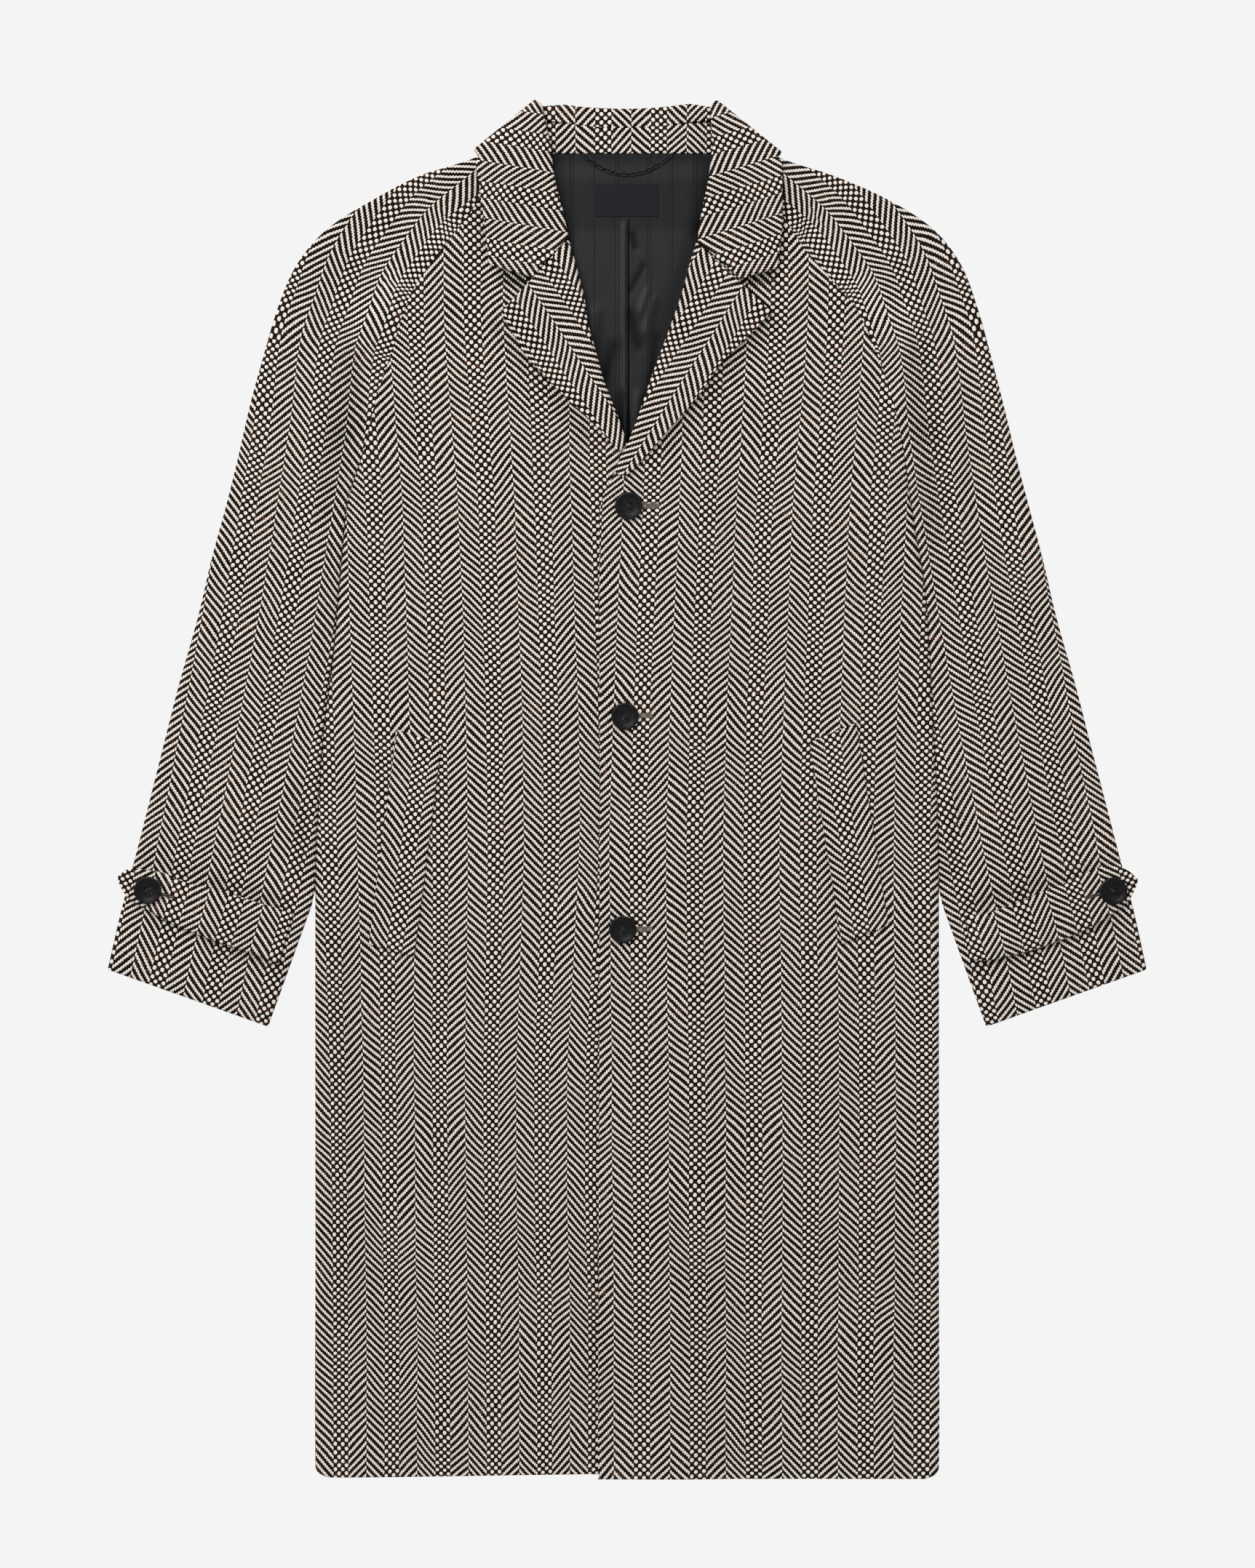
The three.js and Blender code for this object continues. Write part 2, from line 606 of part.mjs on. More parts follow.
function collarBack() {
  const height = CLOTH / 2 + FOLD_RADIUS;
  return COLLAR_BACK.map((row) =>
    collarSection({
      roll: [row.rollX, row.rollY, height],
      fall: [
        [(row.rollX + row.edgeX) / 2, (row.rollY + row.edgeY) / 2, height],
        [row.edgeX, row.edgeY, height],
      ],
      stripTo: [row.seamX, row.seamY, height],
      strip: STAND_STRIP,
      out: [0, 0, -1],
      heightAt: () => FOLD_RADIUS,
    }),
  );
}

function collarFall() {
  const rows = [
    ...collarFront("right"),
    ...collarFold("right"),
    ...collarBack(),
    ...collarFold("left").reverse(),
    ...collarFront("left").reverse(),
  ];
  return wall("collar_fall", rows, WOOL);
}

// The stand: the inside of the back neck, from the neckline up to the stand seam, which rises by
// sideRise towards the shoulders. z is the middle of its wall.
const STAND = { half: 72, neckline: 533.6, seam: 551.6, sideRise: 2.6, z: 6.2 };
function collarStand() {
  const rows = [-1, -0.6, -0.25, 0.1, 0.5, 1].map((share) => {
    const x = share * STAND.half;
    const seamY = STAND.seam + STAND.sideRise * share * share;
    return [0, 0.5, 1].map((up) => {
      const y = lerp(STAND.neckline, seamY, up);
      return { outer: [x, y, STAND.z + CLOTH / 2], inner: [x, y, STAND.z - CLOTH / 2] };
    });
  });
  return wall("collar_stand", rows, WOOL);
}

// The lining that shows in the neck, with its pleat down the middle, closed above closedY.
const PLEAT = { x: 1, height: 1.3, width: 3.5, openY: 440, closedY: 478 };
function liningTop(x, y) {
  const across = Math.exp(-(((x - PLEAT.x) / PLEAT.width) ** 2));
  const pleat = PLEAT.height * across * (1 - smooth(y, PLEAT.openY, PLEAT.closedY));
  return CLOTH + lift(y) + SEAM + LINING + pleat;
}

const LINING_MARGIN = 12; // how far the lining runs on under each front
const LINING_HEIGHTS = [280, 330, 372, 405, 440, 455, 470, 483, 496, 512, BACK_NECK.y];
function liningBack() {
  const rows = LINING_HEIGHTS.map((y) => {
    const from = valueAt(ROLL_LINE, "right", y) - LINING_MARGIN;
    const to = valueAt(ROLL_LINE, "left", y) + LINING_MARGIN;
    return [from, from / 2, -6, -2, 1, 4, 8, to / 2, to].map((x) => ({
      outer: [x, y, liningTop(x, y)],
      inner: [x, y, liningTop(x, y) - LINING],
    }));
  });
  return wall("lining_back", rows, SATIN);
}

function label() {
  const rows = [LABEL.bottom, lerp(LABEL.bottom, LABEL.top, 0.5), LABEL.top].map((y) =>
    [LABEL.left, 0, LABEL.right].map((x) => {
      const z = liningTop(LABEL.left, y) + SEAM;
      return { outer: [x, y, z + LABEL.thick], inner: [x, y, z] };
    }),
  );
  return wall("label", rows, SATIN);
}

function hangerChain() {
  const points = [-1, -0.75, -0.45, 0, 0.45, 0.75, 1].map((share) => {
    const y = CHAIN.topY - CHAIN.sag * (1 - share * share);
    return new THREE.Vector3(share * CHAIN.halfSpan, y, liningTop(0, y) + SEAM + CHAIN.wire / 2);
  });
  const ring = new THREE.Shape().absarc(0, 0, CHAIN.wire / 2, 0, 2 * Math.PI);
  const path = new THREE.CatmullRomCurve3(points);
  const geometry = new THREE.ExtrudeGeometry(ring, { steps: 16, curveSegments: 4, extrudePath: path });
  return named("hanger_chain", geometry, STEEL);
}

// Strips that lie on a panel: a row of two-edged sections, moved out from the panel's face.
function strip(name, table, topAt, thick) {
  const rows = table.map((row) =>
    [0, 0.34, 0.67, 1].map((share) => {
      const x = lerp(row.x0, row.x1, share);
      const y = lerp(row.y0, row.y1, share);
      const z = topAt(x, y) + STRIP_GAP;
      return { outer: [x, y, z + thick], inner: [x, y, z] };
    }),
  );
  return wall(name, rows, WOOL);
}

function cuffTab(side) {
  const table = CUFF_TAB[side].map((row) => ({ x0: row.upX, y0: row.upY, x1: row.lowX, y1: row.lowY }));
  return strip("cuff_tab_" + side, table, sleeveTop, CLOTH);
}

function pocketWelt(side) {
  const [top, bottom] = POCKET[side];
  const table = [0, 0.25, 0.5, 0.75, 1].map((down) => ({
    x0: lerp(top.outX, bottom.outX, down),
    y0: lerp(top.outY, bottom.outY, down),
    x1: lerp(top.inX, bottom.inX, down),
    y1: lerp(top.inY, bottom.inY, down),
  }));
  return strip("pocket_welt_" + side, table, frontTop[side], WELT);
}

// A four-hole button with a rounded rim, lying on what it fastens.
function button({ name, x, y }, z) {
  const bevel = 0.8;
  const circle = (radius, count, cx, cy) =>
    Array.from({ length: count }, (_, k) => {
      const angle = (2 * Math.PI * k) / count;
      return new THREE.Vector2(cx + radius * Math.cos(angle), cy + radius * Math.sin(angle));
    });
  const face = new THREE.Shape(circle(BUTTON_SIZE / 2 - bevel, 24, 0, 0));
  for (const [dx, dy] of [[1, 1], [-1, 1], [-1, -1], [1, -1]])
    face.holes.push(new THREE.Path(circle(BUTTON_HOLE, 6, dx * HOLE_SPREAD, dy * HOLE_SPREAD).reverse()));
  const options = { depth: 1.8, bevelSize: bevel, bevelThickness: bevel, bevelSegments: 1 };
  const mesh = named(name, new THREE.ExtrudeGeometry(face, options), HORN);
  mesh.position.set(x, y, z + SEAM + bevel);
  return mesh;
}

const coat = new THREE.Group();
coat.add(back());
for (const side of ["right", "left"]) {
  coat.add(front(side), lapel(side), cuffTab(side), pocketWelt(side));
  coat.add(sleeve(side, "front"), sleeve(side, "back"));
}
coat.add(collarFall(), collarStand(), liningBack(), label(), hangerChain());
for (const spot of FRONT_BUTTONS) coat.add(button(spot, frontTop.left(spot.x, spot.y)));
for (const spot of CUFF_BUTTONS) coat.add(button(spot, sleeveTop(spot.x, spot.y) + STRIP_GAP + CLOTH));

export default coat;
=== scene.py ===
# A herringbone wool overcoat, buttoned and laid flat on its back: shells, weave, sewing and light.
# Shapes are worked out in millimetres and turned into metres when a mesh is made.
import math

import bmesh
import bpy
import numpy as np
from mathutils import Matrix, Vector


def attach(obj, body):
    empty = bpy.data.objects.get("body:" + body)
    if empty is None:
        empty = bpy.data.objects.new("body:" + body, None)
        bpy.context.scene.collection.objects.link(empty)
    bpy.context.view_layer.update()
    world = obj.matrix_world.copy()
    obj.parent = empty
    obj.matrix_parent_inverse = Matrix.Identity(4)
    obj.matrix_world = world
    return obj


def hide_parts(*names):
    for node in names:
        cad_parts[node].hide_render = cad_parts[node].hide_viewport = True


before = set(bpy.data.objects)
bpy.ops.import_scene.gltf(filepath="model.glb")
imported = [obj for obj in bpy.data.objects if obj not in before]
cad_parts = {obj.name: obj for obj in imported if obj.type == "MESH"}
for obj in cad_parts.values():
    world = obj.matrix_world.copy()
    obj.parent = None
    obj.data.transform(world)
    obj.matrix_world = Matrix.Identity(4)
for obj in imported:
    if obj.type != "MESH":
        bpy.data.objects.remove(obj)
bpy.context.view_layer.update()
MM = 0.001

# Driving sizes of the coat
LENGTH = 1157.0
TOP = LENGTH / 2
HEM = -LENGTH / 2
CLOTH = 3.0
SEAM = 0.3
LINING = 1.2
LAID = 9.3
MIDDLE = LAID / 2
EDGE_ROUND = 5.0
UNDERLAP = 30.0
BUTTON_SIZE = 23.0
SIGN = {"right": -1.0, "left": 1.0}
ON_TOP = 2 * SEAM  # gap under what lies on a front
STRIP_GAP = 0.5  # gap under a strap or a welt
SEWN_CLOSE = 0.05  # how far sewn edges press into each other

# Heights on the body, and what happens there
SHOULDER = 512  # top of the fronts and of the sleeves' inner seams
NECK_RISE = (470, SHOULDER)  # where the collar underneath lifts what lies on it
COLLAR_LIFT = CLOTH + SEAM + 0.1
NECK_EDGE_FROM = 440
V_POINT = 294
UNDERLAP_TOP = 240
UNDER_TIP = -1.0  # x of the under front's edge at the V point
ARMHOLE = (235, 300)  # side edges turn down below it and are sewn flat above it
SLEEVE_FREE = -90  # below this a sleeve hangs clear of the body
SLEEVE_END = -199
HEM_ROWS = (0, 1, 2.5, 4.5, 7, 9.5)  # rows of points close above the hem
BACK_NECK = {"rows": [516, 522, 528, 533], "half": (112, 100)}
BACK_HEM = {"rise": 3, "over": 20}
UNDER_HEM = {"side": 1.2, "middle": 3, "from": -262, "over": 90}
OVERLAP = {"height": CLOTH + 2 * SEAM, "x": (UNDERLAP + 20, UNDERLAP + 65), "y": (310, 372)}
ROUND_SHARE = 0.4  # most of a narrow panel that one rounded edge takes
FOLD_START = 0.12  # first angle of a rounded end
FOLD_SHARE = 0.9  # most of the first step that a rounded end takes

# Slow waves of cloth laid by hand
RIDGES = {"height": 0.35, "x": 41, "bend": 0.8, "y": 170}
SLANTS = {"height": 0.3, "x": 90, "y": 63, "start": 1.3}
RIPPLES = {"height": 0.25, "x": 23, "y": 120}

# Edge of the body at each height, as the distance from the middle on the wearer's right and left.
BODY_EDGE = {
    "y": [-578.5, -575, -569, -400, -87, -50, 0, 55, 113, 165, 205, 243, 284, 325, 372, 405, 427, 440,
          455, 470, 483, 496, 512],
    "right": [252, 259, 261.7, 261.7, 261.7, 261, 258, 254, 246.5, 242, 238.5, 234, 221, 211, 196, 186,
              175, 165, 154, 142.5, 132, 124, 112],
    "left": [252, 259, 261.7, 261.7, 261.7, 261.5, 260, 257, 254, 250.5, 244, 237.5, 232, 223, 207, 191,
             172, 160.5, 148, 138, 129.5, 123, 112],
}

# Sleeve sections by the height where each meets its inner seam: x of the outer edge on both
# sides, and the height of the outer edge.
SLEEVE = {
    "y": [512, 496, 483, 455, 427, 405, 372, 325, 284, 243, 205, 165, 113, 55, 0, -50, -94, -140, -199],
    "right": [100, 134, 172, 213, 252, 276, 292, 307, 317, 327.5, 337.5, 348.5, 360.5, 376, 390, 403,
              413.5, 425, 436],
    "left": [100, 134, 171, 219, 257, 279, 293, 307, 316.5, 327.5, 338, 348.5, 360.5, 376, 390, 403.5,
             414, 425.5, 436],
    "edgeY": [543, 527.5, 515.8, 495, 470.5, 443, 408, 358, 321, 275, 235, 195, 144, 89, 34, -18, -59,
              -103, -151],
}
FREE_SLEEVE = {"y": [-199, -140, -94], "inner": [301.3, 280, 263.5]}

# Roll line of each front, as x at each height.
ROLL_LINE = {
    "y": [294, 314, 344, 371, 391, 414, 443, 462, 487, 514, 537],
    "right": [-1, -8, -19.5, -27, -32.5, -36, -43.5, -48.8, -53.7, -61, -63],
    "left": [2, 9.5, 19.5, 29.5, 37, 45, 53, 58.5, 62.5, 68, 71],
}
NECK_EDGE = {"y": [448, 462, 483, 512], "right": [58, 62, 68, 84], "left": [68, 73, 78, 88]}
FRONT_EDGE = {"y": [-578.5, 0, 235, 252, 263, 278, 294], "x": [-24.4, -22.9, -22.6, -17.7, -11.6, -6, 2]}

# Lapel sections from the gorge down: height on the roll line and the point on the outer edge.
LAPEL = {
    "right": {
        "y": [462, 452, 433, 414, 391, 368, 344, 320, 302, 296, 290, 284],
        "edgeX": [-106, -100.5, -92.5, -85.5, -76, -66.5, -50.5, -31, -17, -14.2, -11.5, -8.8],
        "edgeY": [400, 389.5, 377, 364.5, 354, 344, 327.5, 310, 295, 292, 288.3, 284],
    },
    "left": {
        "y": [459, 450, 435, 414, 391, 371, 344, 320, 302, 285, 266],
        "edgeX": [121, 111, 102, 93.5, 85.5, 76.5, 62, 46, 27.5, 9, -3],
        "edgeY": [401, 389.5, 380.5, 372, 364, 355, 333, 314, 293, 272.5, 261],
    },
}

# Collar sections on each front, from the gorge up: the roll, a point half way and the free edge.
COLLAR = {
    "right": {
        "roll": [(-48.8, 463), (-51.5, 475), (-54, 487), (-60.5, 512), (-64, 540)],
        "mid": [(-79.5, 429.5), (-84, 449), (-86, 469), (-91.5, 506), (-95, 532)],
        "edge": [(-116, 440), (-117, 455), (-119.5, 474), (-124, 507), (-127, 526)],
    },
    "left": {
        "roll": [(59, 460), (60.5, 474), (63, 488), (68, 512), (71.5, 540)],
        "mid": [(94.5, 428), (94.5, 447), (95, 468), (97.5, 505), (98, 530)],
        "edge": [(126, 437), (128, 454), (130, 473), (130, 506), (129.5, 526)],
    },
}
SHOULDER_FOLD = {
    "right": {"roll": (-76.6, TOP + 1.5), "edge": (-129, 537)},
    "left": {"roll": (74.5, TOP + 1), "edge": (130, 535)},
}
COLLAR_BACK = {
    "roll": [(-53, 575.2), (-28, 572.6), (0, 571.8), (28, 573), (52, 576)],
    "edge": [(-98, 523), (-50, 521), (0, 520), (50, 521), (98, 523)],
    "seam": [(-50, 559), (-27, 556.6), (0, 555.6), (27, 556.8), (50, 559.4)],
}
ROLL_GAP = 4.5
FOLD_RADIUS = 6.5
STAND_STRIP = 13.0
FRONT_STRIP = 5.0
ROLL_PUFF = 2.5
EDGE_LIFT = 1.3
COLLAR_EDGE_LIFT = 1.4 * EDGE_LIFT
COLLAR_ROWS = {"front": 26, "fold": 13, "back": 33}
STAND = {"half": 72, "low": 533.6, "top": 7.7, "under": 4.7, "low_round": 1.2, "seam_round": 0.6}
FULL_PUFF = 40.0  # a lapel narrower than this rolls less
UNDER_LAPEL_END = 300

# Main creases: start x and y, end x and y, width, height of the ridge or trough, and how
# far the stitches close up there, which is painted shade that darkens the cloth; below 0 the
# stitches open instead and the cloth is painted lighter, a painted highlight on the ridges.
# range of the painted shading, from painted lighter on ridges to fully painted darker in creases
PAINTED_SHADE_RANGE = (-0.3, 1.0)
CREASES = [
    # pulls of cloth at the armpits
    (-222, 402, -213, 322, 9, 3.2, -0.1),
    (-196, 425, -210, 396, 10, 1.6, -0.2),
    (-216, 396, -208, 330, 5, -0.8, 0.06),
    (-228, 360, -235, 296, 13, -2.6, 0.26),
    (-240, 296, -247, 225, 11, -2.8, 0.17),
    (-257, 350, -266, 222, 11, 3.0, 0),
    (-246, 205, -253, 110, 7, -1.6, 0.06),
    (-274, 330, -286, 215, 10, -1.2, 0),
    (236, 400, 227, 326, 9, 3.0, -0.1),
    (200, 425, 216, 392, 10, 1.6, -0.2),
    (243, 366, 250, 300, 12, -2.5, 0.20),
    (251, 296, 259, 212, 13, -2.8, 0.22),
    (271, 344, 280, 212, 11, 2.8, 0),
    (258, 190, 265, 80, 7, -1.5, 0.06),
    (288, 320, 298, 210, 10, -1.1, 0),
    # shoulders
    (-150, 470, -205, 405, 12, 1.8, -0.06),
    (-176, 495, -236, 428, 14, -1.2, 0),
    (-118, 500, -140, 478, 9, -0.9, 0.06),
    (160, 470, 207, 408, 12, 1.7, -0.06),
    (186, 492, 250, 425, 14, -1.1, 0),
    (128, 498, 152, 474, 9, -0.9, 0.06),
    # pressed hollows beside the lapels and the collar
    (-111, 388, -26, 288, 6, -1.4, 0.24),
    (120, 392, 30, 284, 7, -1.4, 0.24),
    (-123, 515, -121, 448, 5, -1.3, 0.2),
    (134, 512, 132, 446, 5, -1.3, 0.2),
    # under the collar ends: deep hollows with a painted shadow, where the stitches close up fully
    (-102, 430, -83, 424, 5.5, -2.6, 1.0),
    (119, 430, 97, 424, 5.5, -2.6, 1.0),
    # hollows beside the cuff straps
    (-408, -60, -352, -77, 6, -2.0, 0.07),
    (-345, -79, -286, -97, 6, -2.0, 0.24),
    (-402, -108, -352, -126, 6, -2.2, 0.12),
    (-345, -129, -292, -151, 6, -2.2, 0.3),
    (412, -60, 356, -78, 6, -2.0, 0.1),
    (348, -80, 288, -98, 6, -2.0, 0.24),
    (408, -112, 354, -130, 6, -2.2, 0.12),
    (346, -132, 292, -152, 6, -2.2, 0.3),
    # the sleeves' lower inner edges
    (-277, 0, -269, -70, 8, -0.8, 0.18),
    (279, 0, 271, -70, 8, -0.8, 0.14),
    # long soft waves of the skirt
    (-236, -140, -228, -440, 16, -1.5, 0.07),
    (-150, -260, -158, -540, 24, 0.9, 0),
    (-22, -390, -18, -560, 13, -1.2, 0.08),
    (70, -300, 78, -560, 26, -0.8, 0.02),
    (165, -180, 172, -480, 24, 0.8, 0),
    (243, -330, 240, -540, 13, -1.3, 0.05),
]

CUFF_TAB = {
    "right": {
        "up": [(-426.6, -72.5), (-416, -66.5), (-388, -70), (-374, -76.5), (-331, -88), (-305.5, -96),
               (-280, -103)],
        "low": [(-426.4, -77.5), (-418.5, -90), (-395, -105), (-381, -112.5), (-345, -127.5),
                (-321.5, -135), (-292, -146)],
    },
    "left": {
        "up": [(428, -75), (417, -66.5), (399, -64.5), (375, -75), (335.5, -91), (300, -104),
               (283.5, -104)],
        "low": [(427.6, -79.5), (419.5, -94), (401.5, -107.5), (381, -119), (346.5, -132.5),
                (307, -142.5), (289, -143)],
    },
}
STRAP_ARCH = {"from": 428, "long": 146, "height": 1.6}
POCKET = {
    "right": {"top": [(-193.5, 50.5), (-155.5, 38.5)], "bottom": [(-216.5, -130), (-178.5, -140)]},
    "left": {"top": [(192, 56), (153, 39.5)], "bottom": [(219, -114), (180, -129.5)]},
}
WELT = 2.0
BUTTONS = {
    "button_top": (1.2, 237.5),
    "button_middle": (-1.8, 61.3),
    "button_bottom": (-3.7, -117.4),
    "button_cuff_right": (-401.4, -84.5),
    "button_cuff_left": (407.2, -85.1),
}
HOLE_OFFSET = 1.75
DRILL = {"low": 1.0, "top": 1.15, "long": 6, "middle": 1.5}
# Worked buttonholes: where each starts and ends, measured from the button's middle on the front
BUTTONHOLE_FROM = (6, 0.5)
BUTTONHOLE_REACH = {"button_top": 24, "button_middle": 21.5, "button_bottom": 23}
CUFF_BUTTONHOLE = {"right": [(-396, -86), (-381, -90)], "left": [(401, -86), (386, -90.5)]}
LAPEL_BUTTONHOLE = [(89.5, 411.5), (98.5, 393.5)]
LABEL = {"left": -26.4, "right": 26.2, "top": 507.5, "bottom": 481.0, "thick": 0.6, "round": 0.3}
CHAIN = {"half_span": 37.0, "top": 532.5, "sag": 16.5, "wire": 1.25, "link": 6.2, "width": 4.2,
         "pitch": 0.55, "twist": 35, "above": 1.5}
LINING_FROM = 280
LINING_TO = 533
LINING_MARGIN = 12  # how far the lining runs on under each front
PLEAT = {"x": 1.6, "fine": 2.4, "columns": 13}
# Woven stripes: a pair of lines and a single line by turns
STRIPE_REPEAT = 38.4
STRIPE_LEFT = -46.4
STRIPE_RIGHT = 19.0
STRIPE_PAIR = 0.034
# Folds of the loose lining: start x and y, end x and y, width, height, and how dark the satin is painted
# there, a painted shade
LINING_FOLDS = [
    # the pleat: a raised edge, and beside it a groove with a painted shadow
    (-2, 472, -2, 270, 3.0, 1.2, 0),
    (1.6, 476, 1.6, 270, 0.9, -0.5, 0.9),
    # slack beside the pleat, its hollows with painted shade
    (5, 466, 7, 456, 3.2, -0.4, 0.75),
    (4, 420, 14, 440, 3.0, -0.4, 0.6),
    (4, 398, 10, 372, 5.0, -0.5, 0.7),
    (11, 400, 17, 418, 3.0, 0.7, 0),
    (16, 384, 22, 410, 4.0, 0.8, 0),
    (-10, 372, -20, 340, 6.0, -0.5, 0.55),
    (-26, 400, -32, 340, 5.0, 0.8, 0),
    (10, 330, 6, 292, 4.0, 0.7, 0),
    (-4, 330, -8, 292, 4.0, -0.4, 0.5),
    (24, 380, 20, 330, 4.0, -0.4, 0.5),
    # painted shade under the collar and along the fronts
    (-66, 528, -56, 470, 9, 0.4, 0.55),
    (68, 528, 60, 470, 9, 0.4, 0.55),
    (-60, 531, 60, 531, 6, 0, 0.45),
    (-56, 470, -28, 380, 8, -0.3, 0.35),
    (60, 470, 32, 380, 8, -0.3, 0.35),
    (-26, 370, 0, 300, 8, 0, 0.35),
    (30, 370, 4, 300, 8, 0, 0.35),
]

# Weave: columns of hopsack dots between bands of steep twill
REPEAT = 46.8
DOT_COLUMN = 3.37
DOT_COLUMNS = 4
TWILL_END = 1.666
PICK_REPEAT = 6.62
# One dot column of each panel and the spacing of the others, at a few heights
BODY_GRAIN = {
    "right": {"y": [-466, -253, -21, 284], "first": [-240, -242.7, -250.3, -260.8],
              "spacing": [42.7, 42.8, 46.75, 47.15]},
    "left": {"y": [-466, -253, -21, 284], "first": [12.4, 11, 9.6, 22.1],
             "spacing": [46.9, 47.7, 47.6, 47.6]},
    "back": {"y": [-500, 500], "first": [0, 0], "spacing": [REPEAT, REPEAT]},
}
# How far the columns are pulled outwards near the armholes
GRAIN_PULL = {"most": 11, "y": (230, 420), "x": (30, 140)}
# One column of the right sleeve, from its neck seam to the cuff; the left one mirrors it
SLEEVE_GRAIN = [(-159.8, 523), (-184.2, 502.3), (-209.8, 469.4), (-228.1, 440.7), (-240.3, 406),
                (-251.3, 372.4), (-261.1, 293.1), (-295.9, 86.3), (-349, -178), (-368, -270)]
# Angle of the columns from the upright, and a point on one of them
LAPEL_GRAIN = {"right": (34, (-74.4, 369.4)), "left": (-32.4, (42.4, 379.7))}
WELT_GRAIN = {"right": (-8.1, (-172, 27.8)), "left": (8.8, (171.6, 44))}
STRAP_GRAIN = {"right": (-16, (-336, -120)), "left": (16, (336, -120))}
# Angle of the collar's columns on each side, and the height where one passes the pivot's x
COLLAR_GRAIN = {"right": (10, 498.3), "left": (17.5, 496.5)}
COLLAR_GRAIN_PIVOT = 95.0
STAND_COLUMN = -20.0


# Shape helpers
def together(*parts):
    """Coordinates put together as points."""
    return np.stack(np.broadcast_arrays(*parts), -1)


def smooth(x, low, high):
    t = np.clip((np.asarray(x, float) - low) / (high - low), 0, 1)
    return t * t * (3 - 2 * t)


def value_at(table, column, y):
    """One column of a table at the heights y, on a smooth curve through its rows."""
    order = np.argsort(table["y"])
    ys = np.array(table["y"], float)[order]
    values = np.array(table[column], float)[order]
    slopes = np.empty_like(values)
    slopes[1:-1] = (values[2:] - values[:-2]) / (ys[2:] - ys[:-2])
    slopes[0] = (values[1] - values[0]) / (ys[1] - ys[0])
    slopes[-1] = (values[-1] - values[-2]) / (ys[-1] - ys[-2])
    y = np.clip(np.asarray(y, float), ys[0], ys[-1])
    i = np.clip(np.searchsorted(ys, y), 1, len(ys) - 1)
    span = ys[i] - ys[i - 1]
    t = (y - ys[i - 1]) / span
    return ((2 * t**3 - 3 * t**2 + 1) * values[i - 1] + (t**3 - 2 * t**2 + t) * span * slopes[i - 1]
            + (3 * t**2 - 2 * t**3) * values[i] + (t**3 - t**2) * span * slopes[i])


def along(points, count):
    """Points evenly spread in rows on a smooth curve through a short list of points."""
    points = np.array(points, float)
    rows = {"y": np.arange(len(points))}
    at = np.linspace(0, len(points) - 1, count)
    columns = []
    for k in range(points.shape[1]):
        rows["value"] = points[:, k]
        columns.append(value_at(rows, "value", at))
    return np.stack(columns, axis=-1)


def lift(y):
    """How far the collar under the neck lifts what lies on it."""
    low, high = NECK_RISE
    return COLLAR_LIFT * np.clip((np.asarray(y, float) - low) / (high - low), 0, 1)


def middle(x, y):
    return MIDDLE + lift(y)


def summed(table, x, y, column):
    """A column of a table of creases, each spread softly round its line, added up at x and y."""
    total = np.zeros(np.broadcast(x, y).shape)
    for row in table:
        x0, y0, x1, y1, width = row[:5]
        dx, dy = x1 - x0, y1 - y0
        t = np.clip(((x - x0) * dx + (y - y0) * dy) / (dx * dx + dy * dy), 0, 1)
        away = np.hypot(x - x0 - t * dx, y - y0 - t * dy)
        total += row[column] * np.exp(-((away / width) ** 2))
    return total


def creases(x, y):
    return summed(CREASES, x, y, 5)


def closed(x, y):
    """Painted shade at x and y: how far the stitches close up and the cloth is painted darker, up to 1; a
    little below 0 they open and the cloth is painted lighter.
    """
    return np.clip(summed(CREASES, x, y, 6), *PAINTED_SHADE_RANGE)


def overlap(x, y):
    """How far the over front is raised by the under front."""
    return OVERLAP["height"] * (1 - smooth(x, *OVERLAP["x"])) * (1 - smooth(y, *OVERLAP["y"]))


def drape(x, y):
    """Slow unevenness of cloth laid by hand."""
    ridges = np.sin(x / RIDGES["x"] + RIDGES["bend"] * np.sin(y / RIDGES["y"]))
    slants = np.sin(y / SLANTS["y"] + x / SLANTS["x"] + SLANTS["start"])
    ripples = np.sin(x / RIPPLES["x"] - y / RIPPLES["y"])
    return RIDGES["height"] * ridges + SLANTS["height"] * slants + RIPPLES["height"] * ripples


def under_top(x, y):
    """Level of the coat's underside."""
    return lift(y) + 0 * x


def upper_top(x, y):
    return LAID + lift(y) + creases(x, y) + drape(x, y)


def front_top(side, x, y):
    return upper_top(x, y) + (overlap(x, y) if side == "left" else 0)


def laid(a, b, side, height, middle_at, turn_a, turn_b, columns, thick=CLOTH, steps=6):
    """Both faces of a laid panel whose sections run from the points a to the points b."""
    a, b = np.array(a, float), np.array(b, float)
    length = np.hypot(*(b - a).T)[:, None]
    edge = np.minimum(EDGE_ROUND, length * ROUND_SHARE)
    angles = np.linspace(0, math.pi / 2, steps)[None, :]
    sine, out = np.sin(angles), edge * (1 - np.cos(angles))
    into = edge - (edge - thick) * np.cos(angles)
    turn_a, turn_b = (np.asarray(turn, float).reshape(-1, 1) for turn in (turn_a, turn_b))
    inside = edge + (length - 2 * edge) * np.linspace(0, 1, columns + 1)[None, 1:-1]
    in_a, in_b = (out + (into - out) * turn for turn in (turn_a, turn_b))
    out_at = np.hstack([out, inside, (length - out)[:, ::-1]])
    in_at = np.hstack([in_a, inside, (length - in_b)[:, ::-1]])
    sine = sine * np.ones_like(length)
    sines = np.hstack([sine, np.ones_like(inside), sine[:, ::-1]])
    turns = np.hstack([turn_a * np.ones_like(out), 0 * inside, turn_b * np.ones_like(out)])
    faces = []
    for distance, drop in ((out_at, 0.0), (in_at, thick)):
        x = a[:, :1] + (b[:, :1] - a[:, :1]) * distance / length
        y = a[:, 1:] + (b[:, 1:] - a[:, 1:]) * distance / length
        flat = height(x, y) - side * drop
        mid = middle_at(x, y) + side * SEAM / 2
        z = flat + turns * (mid + (flat - mid) * sines - flat)
        faces.append(together(x, y, z))
    return faces


